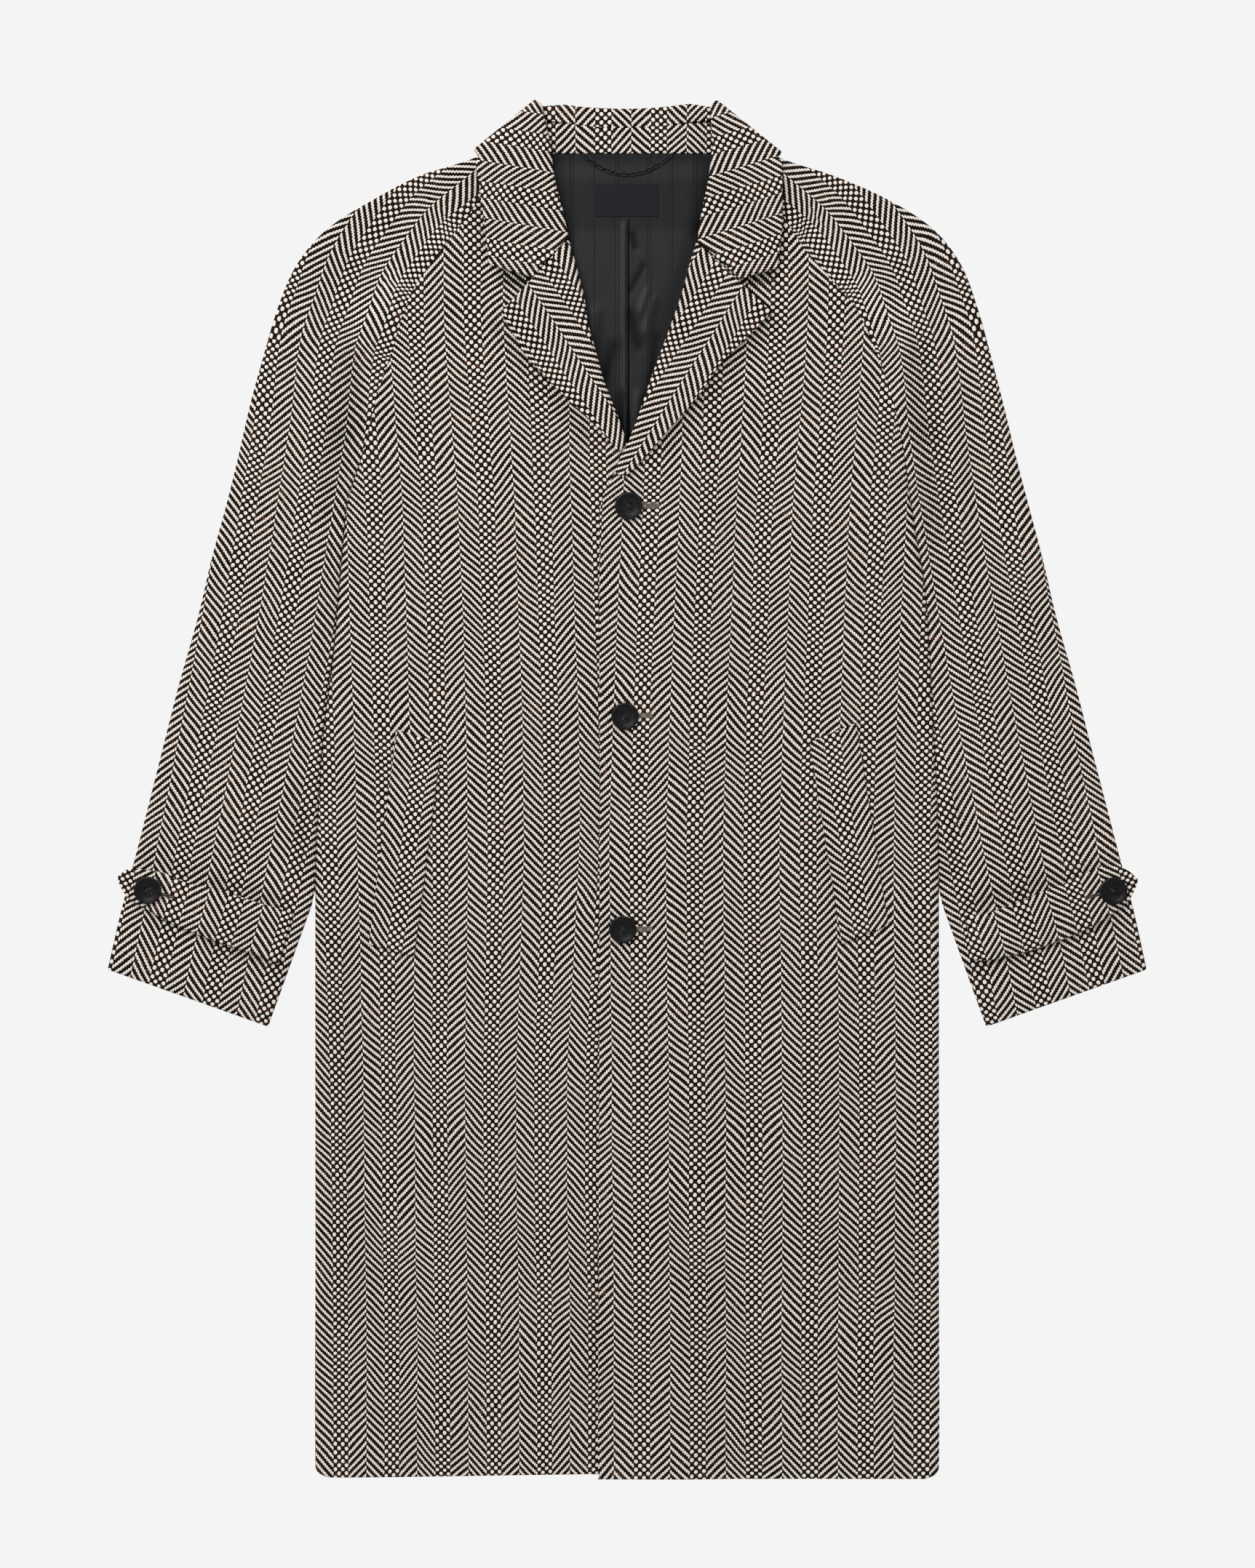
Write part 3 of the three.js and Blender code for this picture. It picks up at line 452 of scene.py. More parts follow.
def rounded(faces, axis, end, weight=1.0, radius=CLOTH / 2, steps=4):
    """Adds rows near one end of a wall and rounds that edge to a turned fold of cloth."""
    outer, inner = (np.moveaxis(face, axis, 0) for face in faces)
    if end == 1:
        outer, inner = outer[::-1], inner[::-1]
    step = np.linalg.norm(outer[1] - outer[0], axis=-1, keepdims=True)
    weight = np.asarray(weight, float)
    weight = weight.reshape(-1, 1) if weight.ndim else weight
    made = [[], []]
    for angle in np.linspace(FOLD_START, math.pi / 2, steps):
        t = np.minimum(radius * (1 - math.cos(angle)) / step, FOLD_SHARE * (angle / (math.pi / 2)))
        top = outer[0] + (outer[1] - outer[0]) * t
        low = inner[0] + (inner[1] - inner[0]) * t
        centre = (top + low) / 2
        squeeze = 1 - weight * (1 - math.sin(angle))
        made[0].append(centre + (top - centre) * squeeze)
        made[1].append(centre + (low - centre) * squeeze)
    outer = np.concatenate([np.array(made[0]), outer[1:]])
    inner = np.concatenate([np.array(made[1]), inner[1:]])
    if end == 1:
        outer, inner = outer[::-1], inner[::-1]
    return [np.moveaxis(outer, 0, axis), np.moveaxis(inner, 0, axis)]


ENDS = [(0, 0), (0, 1)]
ALL_ROUND = ENDS + [(1, 0), (1, 1)]


def rounded_at(edges, faces, radius=CLOTH / 2):
    """Rounds several edges of a wall, each given as its axis and its end."""
    for axis, end in edges:
        faces = rounded(faces, axis, end, radius=radius)
    return faces


def wall_faces(rows, columns):
    """Faces of a closed wall: an outer grid, an inner grid and the band between them."""
    outer = np.arange(rows * columns).reshape(rows, columns)
    inner = outer + rows * columns
    top = together(outer[:-1, :-1], outer[:-1, 1:], outer[1:, 1:], outer[1:, :-1]).reshape(-1, 4)
    low = together(inner[:-1, :-1], inner[1:, :-1], inner[1:, 1:], inner[:-1, 1:]).reshape(-1, 4)
    ring = np.concatenate([outer[0, :-1], outer[:-1, -1], outer[-1, :0:-1], outer[:0:-1, 0]])
    under = ring + rows * columns
    band = together(ring, under, np.roll(under, -1), np.roll(ring, -1))
    return np.concatenate([top, low, band]).tolist()


def add_mesh(name, vertices, faces, material, slot, weave=None, replaces=(), sharp=60):
    mesh = bpy.data.meshes.new(name)
    mesh.from_pydata((np.asarray(vertices, float) * MM).tolist(), [], faces)
    mesh.update()
    if weave is not None:
        layer = mesh.attributes.new("weave", "FLOAT_VECTOR", "POINT")
        layer.data.foreach_set("vector", np.asarray(weave, float).ravel())
    obj = bpy.data.objects.new(name, mesh)
    bpy.context.scene.collection.objects.link(obj)
    bm = bmesh.new()
    bm.from_mesh(mesh)
    bmesh.ops.recalc_face_normals(bm, faces=bm.faces)
    bm.to_mesh(mesh)
    bm.free()
    mesh.shade_smooth()
    mesh.set_sharp_from_angle(angle=math.radians(sharp))
    mesh.materials.append(material)
    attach(obj, "root")
    if replaces:
        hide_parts(*replaces)
    return obj


def add_cloth(name, node, faces, cloth, grain, painted_shading=None):
    """A wall of cloth.

    Its weave attribute holds the place on the cloth and, where given, the painted shading: how far the
    stitches close up, or the satin is painted darker, in creases and folds.
    """
    outer, inner = faces
    rows, columns = outer.shape[:2]
    vertices = np.concatenate([outer.reshape(-1, 3), inner.reshape(-1, 3)])
    weave = np.zeros_like(vertices)
    weave[:, :2] = np.concatenate([grain(outer).reshape(-1, 2), grain(inner).reshape(-1, 2)])
    if painted_shading:
        weave[:rows * columns, 2] = painted_shading(outer[..., 0], outer[..., 1]).ravel()
    piece = add_mesh(name, vertices, wall_faces(rows, columns), *cloth, weave, [node])


# Grain: where each point of a piece lies on the cloth it was cut from, in millimetres
def body_grain(panel):
    table = BODY_GRAIN[panel]

    def grain(points):
        x, y = points[..., 0], points[..., 1]
        pull = GRAIN_PULL["most"] * smooth(y, *GRAIN_PULL["y"])
        pull = pull * smooth(np.abs(x), *GRAIN_PULL["x"]) * np.sign(x)
        first, spacing = value_at(table, "first", y), value_at(table, "spacing", y)
        return together((x - pull - first) * REPEAT / spacing, y)
    return grain


def sleeve_grain(side, count=160):
    points = np.array(SLEEVE_GRAIN, float)
    reach = np.concatenate([[0], np.cumsum(np.hypot(*np.diff(points, axis=0).T))])
    at = np.linspace(0, reach[-1], count)
    guide = np.stack([value_at({"y": reach, "x": points[:, k]}, "x", at) for k in (0, 1)], -1)
    steps = np.diff(guide, axis=0)
    lengths = np.hypot(*steps.T)
    start = np.concatenate([[0], np.cumsum(lengths)[:-1]])

    def grain(points):
        flat = points[..., :2].reshape(-1, 2) * np.array([-SIGN[side], 1])
        offset = flat[:, None, :] - guide[None, :-1, :]
        t = (offset * steps).sum(-1) / lengths**2
        t[:, 1:-1] = np.clip(t[:, 1:-1], 0, 1)
        t[:, 0] = np.minimum(t[:, 0], 1)
        t[:, -1] = np.maximum(t[:, -1], 0)
        gap = offset - t[..., None] * steps
        away = np.hypot(gap[..., 0], gap[..., 1])
        best = away.argmin(1)
        pick = np.arange(len(flat))
        across = (offset[pick, best, 0] * steps[best, 1] - offset[pick, best, 1] * steps[best, 0])
        u = across / lengths[best] * SIGN[side]
        v = -(start[best] + t[pick, best] * lengths[best])
        return together(u, v).reshape(points.shape[:-1] + (2,))
    return grain


def turned_grain(angle, origin):
    """Straight grain whose columns lie at an angle from +Y, one of them through origin."""
    c, s = math.cos(math.radians(angle)), math.sin(math.radians(angle))

    def grain(points):
        x, y = points[..., 0] - origin[0], points[..., 1] - origin[1]
        return together(x * c + y * s, y * c - x * s)
    return grain


# Materials
class Nodes:
    """A material's node tree, with a short call for each kind of step."""

    def __init__(self, name):
        self.material = bpy.data.materials.new(name)
        self.material.use_nodes = True
        self.tree = self.material.node_tree
        self.shader = self.tree.nodes["Principled BSDF"]

    def add(self, kind, inputs=(), **settings):
        node = self.tree.nodes.new("ShaderNode" + kind)
        for key, value in settings.items():
            setattr(node, key, value)
        for key, value in dict(inputs).items():
            self.set(node.inputs[key], value)
        return node

    def set(self, socket, value):
        if isinstance(value, bpy.types.NodeSocket):
            self.tree.links.new(value, socket)
        else:
            socket.default_value = value

    def math(self, operation, a, b=0.0):
        return self.add("Math", {0: a, 1: b}, operation=operation).outputs[0]

    def mix(self, factor, a, b):
        return self.add("Mix", {0: factor, 2: a, 3: b}, data_type="FLOAT").outputs[0]

    def blend(self, factor, a, b):
        return self.add("Mix", {0: factor, 6: a, 7: b}, data_type="RGBA").outputs[2]

    def noise(self, vector, scale, detail=2.0, roughness=0.5):
        inputs = {"Vector": vector, "Scale": scale, "Detail": detail, "Roughness": roughness}
        return self.add("TexNoise", inputs).outputs["Fac"]

    def ramp(self, value, low, high, to_low=0.0, to_high=1.0):
        inputs = {0: value, 1: low, 2: high, 3: to_low, 4: to_high}
        return self.add("MapRange", inputs, clamp=True).outputs[0]

    def vector(self, operation, a, b):
        return self.add("VectorMath", {0: a, 1: b}, operation=operation).outputs[0]

    def from_middle(self, value):
        """How far a value lies from the middle of its whole step."""
        return self.math("SUBTRACT", self.math("FRACT", value), 0.5)

    def on_cloth(self):
        return self.add("Attribute", attribute_name="weave").outputs["Vector"]

    def on_object(self):
        return self.add("TexCoord").outputs["Object"]

    def stretched(self, vector, scale):
        return self.add("Mapping", {"Vector": vector, "Scale": scale}).outputs[0]

    def look(self, values):
        """Sets inputs of the shader and gives back the material."""
        for key, value in values.items():
            self.set(self.shader.inputs[key], value)
        return self.material

    def bump(self, height, distance, strength):
        node = self.add("Bump", {"Height": height, "Distance": distance, "Strength": strength})
        self.set(self.shader.inputs["Normal"], node.outputs[0])


CREAM = (0.87, 0.805, 0.735, 1)
CREAM_DEEP = (0.66, 0.59, 0.51, 1)
DARK = (0.004, 0.0022, 0.0014, 1)
# painted highlight on the top of each dark yarn float
DARK_LIT = (0.018, 0.0110, 0.0070, 1)
DARK_WARM = (0.075, 0.030, 0.018, 1)
STITCH_LEAN = 0.4
# Half sizes of a stitch as shares of its column and of the pick repeat
STITCH_WIDTH = {"dot": 0.45, "twill": 0.50}
STITCH_REACH = {"dot": 0.225, "twill": 0.226}
DARK_STITCH = {"width": 0.5, "reach": 0.24}
# Painted shade in creases and painted light on ridges: size and brightness of the stitches,
# from opened to fully closed
PAINTED_SHADE_STITCH_SIZE = (1.06, 0.8)
PAINTED_SHADE_BRIGHTNESS = (1.13, 0.5)
# How the yarns stray: how often, and how far across and along in millimetres
SLOW_WANDER = (0.011, (2.2, 22.0, 0.0))
FINE_WANDER = (0.55, (0.7, 0.8, 0.0))


def wool_material():
    n = Nodes("herringbone_wool")
    place = n.on_cloth()
    # third value of the weave attribute: painted shade of the creases, and painted light on ridges below 0
    painted_shading = n.add("SeparateXYZ", {0: place}).outputs[2]

    def wandering(scale, reach):
        """How far the yarns stray from a straight line, as a vector in millimetres."""
        noise = n.add("TexNoise", {"Vector": place, "Scale": scale, "Detail": 1.0}).outputs["Color"]
        return n.vector("MULTIPLY", n.vector("SUBTRACT", noise, (0.5, 0.5, 0.5)), reach)

    stray = n.vector("ADD", wandering(*SLOW_WANDER), wandering(*FINE_WANDER))
    split = n.add("SeparateXYZ", {0: n.vector("ADD", place, stray)})
    u, v = split.outputs[0], split.outputs[1]

    # Place in the repeat: distance from the middle of the dot columns
    turn = n.from_middle(n.math("ADD", n.math("DIVIDE", u, REPEAT), 0.5))
    from_dots = n.math("MULTIPLY", turn, REPEAT)
    away = n.math("ABSOLUTE", from_dots)
    half_dots = DOT_COLUMN * DOT_COLUMNS / 2
    in_twill = n.math("GREATER_THAN", away, half_dots)

    # Hopsack dots, neighbouring columns half a repeat out of step
    dot = n.math("DIVIDE", from_dots, DOT_COLUMN)
    dot_across = n.from_middle(dot)
    dot_step = n.math("MULTIPLY", n.math("PINGPONG", n.math("FLOOR", dot), 1.0), 0.5)

    # Twill ends, each a quarter of a repeat further on, broken by half a repeat at each change
    end = n.math("DIVIDE", n.math("SUBTRACT", away, half_dots), TWILL_END)
    end_across = n.from_middle(end)
    leaning = n.math("ADD", n.math("FLOOR", end), n.math("MULTIPLY", end_across, STITCH_LEAN))
    on_left = n.math("LESS_THAN", from_dots, 0.0)
    end_step = n.math("ADD", n.math("MULTIPLY", leaning, -0.25), n.math("MULTIPLY", on_left, 0.5))

    step = n.mix(in_twill, dot_step, end_step)
    across = n.math("ABSOLUTE", n.mix(in_twill, dot_across, end_across))
    up = n.math("FRACT", n.math("ADD", n.math("DIVIDE", v, PICK_REPEAT), step))
    along_stitch = n.math("ABSOLUTE", n.math("SUBTRACT", up, 0.5))

    def stitch(distance, width, reach, power):
        return n.math("ADD", n.math("POWER", n.math("DIVIDE", across, width), power),
                      n.math("POWER", n.math("DIVIDE", distance, reach), power))

    # cream stitches narrowed in the creases, part of the painted shade
    painted_shade_narrowing = n.ramp(painted_shading, *PAINTED_SHADE_RANGE, *PAINTED_SHADE_STITCH_SIZE)
    width, reach = (n.math("MULTIPLY", n.mix(in_twill, size["dot"], size["twill"]), painted_shade_narrowing)
                    for size in (STITCH_WIDTH, STITCH_REACH))
    shape = stitch(along_stitch, width, reach, 2.6)
    cream = n.ramp(shape, 1.3, 0.75)
    dome = n.ramp(shape, 1.4, 0.0)

    # The dark yarn floats between the stitches
    dark_along = n.math("SUBTRACT", 0.5, along_stitch)
    dark_shape = stitch(dark_along, DARK_STITCH["width"], DARK_STITCH["reach"], 2.4)
    dark_dome = n.ramp(dark_shape, 1.1, 0.0)

    fibre = n.noise(place, 2.6, 3.0, 0.65)
    cloud = n.noise(place, 0.012)
    fleck = n.noise(place, 0.3, 1.0)
    warm = n.math("MULTIPLY", n.ramp(fleck, 0.55, 0.66), n.ramp(n.noise(place, 0.02, 1.0), 0.42, 0.62))
    light = n.blend(n.ramp(fibre, 0.4, 0.75, 0.0, 0.7), CREAM, CREAM_DEEP)
    # the dark yarn floats are painted lighter at the top of their domes, a painted highlight
    dark = n.blend(warm, n.blend(n.math("MULTIPLY", dark_dome, 0.8), DARK, DARK_LIT), DARK_WARM)
    colour = n.blend(cream, dark, light)
    # cloth painted darker in the creases and lighter on ridges: painted shade and painted light
    painted_brightness = n.ramp(painted_shading, *PAINTED_SHADE_RANGE, *PAINTED_SHADE_BRIGHTNESS)
    shade = n.math("MULTIPLY", n.ramp(cloud, 0.3, 0.7, 0.97, 1.02), painted_brightness)
    tint = n.add("HueSaturation", {"Color": colour, "Value": shade}).outputs[0]
    relief = n.math("ADD", n.math("MAXIMUM", dome, n.math("MULTIPLY", dark_dome, 0.7)),
                    n.math("MULTIPLY", fibre, 0.3))
    n.bump(relief, 0.45 * MM, 0.8)
    return n.look({"Base Color": tint, "Roughness": 0.95, "Specular IOR Level": 0.04,
                   "Sheen Weight": 0.012, "Sheen Roughness": 0.6})


SATIN_DARK = (0.0050, 0.0050, 0.0056, 1)
SATIN_LIT = (0.0095, 0.0095, 0.0108, 1)
SATIN_SLACK = (0.0052, 0.0052, 0.006, 1)
SATIN_STRIPE = (0.0018, 0.0018, 0.0024, 1)
SATIN_SHADE = (0.0008, 0.0008, 0.0012, 1)


def lining_material():
    n = Nodes("satin_lining")
    place = n.on_cloth()
    split = n.add("SeparateXYZ", {0: place})
    u, painted_fold_shade = split.outputs[0], split.outputs[2]
    half = n.math("DIVIDE", u, STRIPE_REPEAT / 2)
    single = n.math("PINGPONG", n.math("ROUND", half), 1.0)
    turn = n.math("ABSOLUTE", n.math("SUBTRACT", half, n.math("ROUND", half)))
    pair = n.math("ABSOLUTE", n.math("SUBTRACT", turn, 2 * STRIPE_PAIR))
    stripe = n.ramp(n.mix(single, pair, turn), 0.012, 0.035, 1.0, 0.0)
    thread = n.noise(n.stretched(place, (3.0, 0.12, 1.0)), 1.0)
    slack = n.noise(n.stretched(place, (0.09, 0.03, 1.0)), 1.0)
    base = n.blend(n.ramp(thread, 0.3, 0.7), SATIN_DARK, SATIN_LIT)
    # the satin is darker in random long patches
    long_patches = n.blend(n.ramp(slack, 0.42, 0.62), SATIN_SLACK, base)
    n.bump(n.math("SUBTRACT", n.math("MULTIPLY", thread, 0.3), stripe), 0.2 * MM, 0.5)
    # satin painted darker, with less reflection, in the folds and under the collar: painted shade
    return n.look({"Base Color": n.blend(painted_fold_shade, n.blend(stripe, long_patches, SATIN_STRIPE), SATIN_SHADE),
                   "Roughness": n.mix(stripe, n.ramp(thread, 0.3, 0.7, 0.36, 0.46), 0.65),
                   "Specular IOR Level": n.ramp(painted_fold_shade, 0.0, 1.0, 0.25, 0.06)})


LABEL_DARK = (0.002, 0.003, 0.0055, 1)
LABEL_LIT = (0.006, 0.0075, 0.012, 1)
HORN_DARK = (0.002, 0.002, 0.0025, 1)
HORN_LIT = (0.006, 0.006, 0.0068, 1)
STEEL_DARK = (0.02, 0.02, 0.022, 1)
STEEL_RUBBED = (0.09, 0.09, 0.095, 1)


def label_material():
    n = Nodes("woven_label")
    place = n.on_cloth()
    thread = n.noise(n.stretched(place, (0.4, 4.0, 1.0)), 1.0)
    n.bump(thread, 0.15 * MM, 0.6)
    return n.look({"Base Color": n.blend(thread, LABEL_DARK, LABEL_LIT), "Roughness": 0.6,
                   "Specular IOR Level": 0.2})


def horn_material():
    n = Nodes("matt_horn")
    place = n.on_object()
    streak = n.noise(n.stretched(place, (160, 420, 160)), 1.0, 3.0)
    n.bump(n.noise(place, 1800), 0.06 * MM, 0.4)
    return n.look({"Base Color": n.blend(n.ramp(streak, 0.35, 0.7), HORN_DARK, HORN_LIT),
                   "Roughness": n.ramp(streak, 0.3, 0.7, 0.3, 0.42), "Specular IOR Level": 0.17})


def thread_material(name, colour, deep):
    n = Nodes(name)
    place = n.on_object()
    ply = n.noise(place, 1500)
    n.bump(ply, 0.1 * MM, 0.6)
    return n.look({"Base Color": n.blend(ply, colour, deep), "Roughness": 0.7})


def steel_material():
    n = Nodes("blackened_steel")
    place = n.on_object()
    rub = n.noise(place, 900)
    return n.look({"Base Color": n.blend(n.ramp(rub, 0.45, 0.75), STEEL_DARK, STEEL_RUBBED),
                   "Roughness": n.ramp(rub, 0.3, 0.7, 0.3, 0.48), "Metallic": 0.85})


# Each cloth with the material slot that it stands for
WOOL = (wool_material(), "wool")
SATIN = (lining_material(), "lining")
LABEL_CLOTH = (label_material(), "label")
HORN = horn_material()
STEEL = steel_material()
CREAM_THREAD = thread_material("buttonhole_thread", (0.30, 0.25, 0.19, 1), (0.05, 0.04, 0.03, 1))
BROWN_THREAD = thread_material("cuff_buttonhole_thread", (0.07, 0.055, 0.043, 1), (0.02, 0.015, 0.012, 1))
BLACK_THREAD = thread_material("button_thread", (0.02, 0.02, 0.022, 1), (0.008, 0.008, 0.009, 1))


# Panels
def side_turn(y):
    return 1 - smooth(y, *ARMHOLE)


def body_heights(spacing=6.0, from_hem=15.5):
    near_hem = [HEM + rise for rise in HEM_ROWS]
    return np.array(near_hem + list(np.arange(HEM + from_hem, SHOULDER, spacing)) + [SHOULDER])


def body_edge(side, y):
    return SIGN[side] * value_at(BODY_EDGE, side, y)


def back(columns=60):
    y = np.append(body_heights(9.0), BACK_NECK["rows"])
    neck = np.interp(y, [SHOULDER, BACK_NECK["rows"][-1]], BACK_NECK["half"])
    half = {side: np.where(y > SHOULDER, neck, value_at(BODY_EDGE, side, y)) for side in SIGN}
    rise = BACK_HEM["rise"] * (1 - smooth(y, HEM, HEM + BACK_HEM["over"]))
    faces = laid(together(-half["right"], y + rise), together(half["left"], y + rise), -1,
                 under_top, middle, side_turn(y), side_turn(y), columns)
    add_cloth("back_panel", "back", rounded_at(ENDS, faces), WOOL, body_grain("back"))


def front_inner(side, y):
    """x of a front's inner edge: down its own edge, up the roll line and round the neck."""
    if side == "left":
        low = value_at(FRONT_EDGE, "x", y)
    else:
        low = UNDER_TIP + (UNDERLAP - UNDER_TIP) * (1 - smooth(y, UNDERLAP_TOP, V_POINT))
    x = np.where(y < V_POINT, low, value_at(ROLL_LINE, side, y))
    return np.where(y > NECK_EDGE_FROM, SIGN[side] * value_at(NECK_EDGE, side, y), x)


def raise_under_hem(faces):
    """The under front ends a little higher than the over front, most of all at its inner edge."""
    for face in faces:
        rise = UNDER_HEM["side"] + UNDER_HEM["middle"] * smooth(face[..., 0], UNDER_HEM["from"], UNDERLAP)
        face[..., 1] += rise * (1 - smooth(face[..., 1], HEM, HEM + UNDER_HEM["over"]))


def front(side, columns=52):
    y = body_heights()
    faces = laid(together(body_edge(side, y), y), together(front_inner(side, y), y), 1,
                 lambda x, y: front_top(side, x, y), middle, side_turn(y), 0 * y, columns)
    if side == "right":
        raise_under_hem(faces)
    faces = rounded_at(ENDS, faces)
    turn = side_turn(faces[0][:, 0, 1])
    faces = rounded(rounded(faces, 1, 1), 1, 0, 1 - turn)
    add_cloth("front_panel_" + side, "front_" + side, faces, WOOL, body_grain(side),
              painted_shading=closed)


def sleeve(side, face, spacing=6.0, columns=36):
    y = np.array(list(np.arange(SLEEVE_END, SHOULDER, spacing)) + [SHOULDER])[::-1]
    joined_here = y > SLEEVE_FREE
    inner = np.where(joined_here, body_edge(side, y) - SIGN[side] * SEWN_CLOSE,
                     SIGN[side] * value_at(FREE_SLEEVE, "inner", y))
    outer_edge = together(SIGN[side] * value_at(SLEEVE, side, y), value_at(SLEEVE, "edgeY", y))
    turned = np.where(joined_here, side_turn(y), 1.0)
    upper = face == "front"
    faces = laid(outer_edge, together(inner, y), 1 if upper else -1,
                 upper_top if upper else under_top, middle, 1 + 0 * y, turned, columns)
    faces = rounded_at(ENDS, faces)
    inner_turn = np.interp(faces[0][:, -1, 1], y[::-1], turned[::-1])
    faces = rounded(faces, 1, 1, 1 - inner_turn)
    node = "sleeve_%s_%s" % (side, face)
    add_cloth(node + "_panel", node, faces, WOOL, sleeve_grain(side),
              painted_shading=closed if upper else None)


def on_front(side, x, y):
    return front_top(side, x, y) + ON_TOP


def lapel(side, count=60, columns=22):
    table = LAPEL[side]
    rows = along(together(table["y"], table["edgeX"], table["edgeY"]), count)
    y = rows[:, 0]
    x = value_at(ROLL_LINE, side, y)
    front_edge = value_at(FRONT_EDGE, "x", y)
    if side == "right":
        x = np.where(y < UNDER_LAPEL_END, np.minimum(x, front_edge - CLOTH / 2), x)
    else:
        x = np.where(y < V_POINT, front_edge, x)
    length = np.hypot(rows[:, 1] - x, rows[:, 2] - y)[:, None]
    start = together(x, y)

    def puff(px, py):
        share = np.hypot(px - x[:, None], py - y[:, None]) / length
        size = np.minimum(1, length / FULL_PUFF)
        return size * (ROLL_PUFF * np.clip(1 - share, 0, 1) ** 2 + EDGE_LIFT * np.clip(share, 0, 1) ** 3)

    faces = laid(start, rows[:, 1:], 1, lambda px, py: on_front(side, px, py) + CLOTH + puff(px, py),
                 lambda px, py: on_front(side, px, py), 1 + 0 * y, 0 * y, columns)
    add_cloth("lapel_facing_" + side, "lapel_" + side, rounded_at(ENDS + [(1, 1)], faces), WOOL,
              turned_grain(*LAPEL_GRAIN[side]))


# Collar
def level_run(start, end):
    """Direction from start to end along the table, one long."""
    run = np.array(end, float) - start
    run[2] = 0
    return run / np.linalg.norm(run)


def collar_section(roll, fall, strip_to, strip, out, height_at, steps=7, roll_steps=11):
    """Both faces of one section: the strip inside the roll, the roll, and the fall to its edge."""
    start = np.array(roll, float)
    away, strip_away = level_run(start, fall[0]), level_run(start, strip_to)
    out = np.array(out, float)
    radius = (ROLL_GAP + CLOTH) / 2
    centre = start + away * radius
    rise = height_at(*start)
    outer, inner = [], []
    for share in np.linspace(1, 0.1, steps):
        base = centre + strip_away * strip * share
        outer.append(base + out * (rise - ROLL_GAP - CLOTH / 2))
        inner.append(base + out * (rise - ROLL_GAP + CLOTH / 2))
    for angle in np.linspace(-math.pi / 2, math.pi / 2, roll_steps):
        for face, size in ((outer, radius), (inner, radius - CLOTH)):
            face.append(centre - away * size * math.cos(angle)
                        + out * (rise - ROLL_GAP / 2 + size * math.sin(angle)))
    stops = [centre] + [np.array(p, float) for p in fall]
    for leg in range(len(stops) - 1):
        for share in np.linspace(0, 1, steps)[1:]:
            base = stops[leg] + (stops[leg + 1] - stops[leg]) * share
            base[2] = start[2]
            height = height_at(*base)
            outer.append(base + out * (height + CLOTH / 2))
            inner.append(base + out * (height - CLOTH / 2))
    return np.array(outer), np.array(inner)


def collar_front(side):
    rolls, mids, edges = (along(COLLAR[side][key], COLLAR_ROWS["front"]) for key in ("roll", "mid", "edge"))
    sections = []
    for roll, mid, edge in zip(rolls, mids, edges):
        reach = math.dist(roll, edge)

        def height_at(x, y, z=0.0):
            share = min(1.0, math.hypot(x - roll[0], y - roll[1]) / reach)
            puff = ROLL_PUFF * (1 - share) ** 2 + COLLAR_EDGE_LIFT * share**3
            return float(on_front(side, np.array(x), np.array(y))) + CLOTH / 2 + puff

        sections.append(collar_section((*roll, 0), [(*mid, 0), (*edge, 0)], (*mid, 0), FRONT_STRIP,
                                       (0, 0, 1), height_at))
    return sections


def collar_fold(side):
    """Sections that turn over at the shoulder, from the front to the back."""
    fold = SHOULDER_FOLD[side]
    roll, edge = np.array(fold["roll"]), np.array(fold["edge"])
    run = (edge - roll) / np.linalg.norm(edge - roll)
    inward = np.array([-run[1], run[0]]) * (1 if side == "right" else -1)
    inset = FOLD_RADIUS + CLOTH / 2
    height = CLOTH / 2 + FOLD_RADIUS
    roll, edge = roll + inset * inward, edge + inset * inward
    half = (roll + edge) / 2
    sections = []
    for degrees in np.linspace(90, -90, COLLAR_ROWS["fold"]):
        angle = math.radians(degrees)
        out = (-inward[0] * math.cos(angle), -inward[1] * math.cos(angle), math.sin(angle))
        strip = FRONT_STRIP + (STAND_STRIP - FRONT_STRIP) * (90 - degrees) / 180
        sections.append(collar_section((*roll, height), [(*half, height), (*edge, height)],
                                       (*half, height), strip, out, lambda *p: FOLD_RADIUS))
    return sections


def collar_back():
    height = CLOTH / 2 + FOLD_RADIUS
    rolls, edges, seams = (along(COLLAR_BACK[key], COLLAR_ROWS["back"]) for key in ("roll", "edge", "seam"))
    return [collar_section((*roll, height), [(*(roll + edge) / 2, height), (*edge, height)],
                           (*seam, height), STAND_STRIP, (0, 0, -1), lambda *p: FOLD_RADIUS)
            for roll, edge, seam in zip(rolls, edges, seams)]


def collar():
    rows = (collar_front("right") + collar_fold("right") + collar_back()
            + collar_fold("left")[::-1] + collar_front("left")[::-1])
    faces = [np.array([row[k] for row in rows]) for k in (0, 1)]
    half_fold = COLLAR_ROWS["fold"] // 2
    back_from = COLLAR_ROWS["front"] + half_fold
    back_to = back_from + COLLAR_ROWS["fold"] + COLLAR_ROWS["back"]
    faces = rounded_at(ENDS, faces)
    added = (faces[0].shape[0] - len(rows)) // 2
    faces = rounded(rounded(faces, 1, 1), 1, 0, radius=STAND["seam_round"])

    def grain(points):
        x, y = points[..., 0], points[..., 1]
        made = np.empty(x.shape + (2,))
        for side, half in (("right", x < 0), ("left", x >= 0)):
            angle, level = COLLAR_GRAIN[side]
            c, s = math.cos(math.radians(angle)), math.sin(math.radians(angle))
            out, up = np.abs(x[half]) - COLLAR_GRAIN_PIVOT, y[half] - level
            made[half] = together(up * c - out * s, -out * c - up * s)
        rear = slice(back_from + added, back_to + added)
        made[rear] = together(x[rear] - STAND_COLUMN, -y[rear])
        return made

    add_cloth("collar", "collar_fall", faces, WOOL, grain)


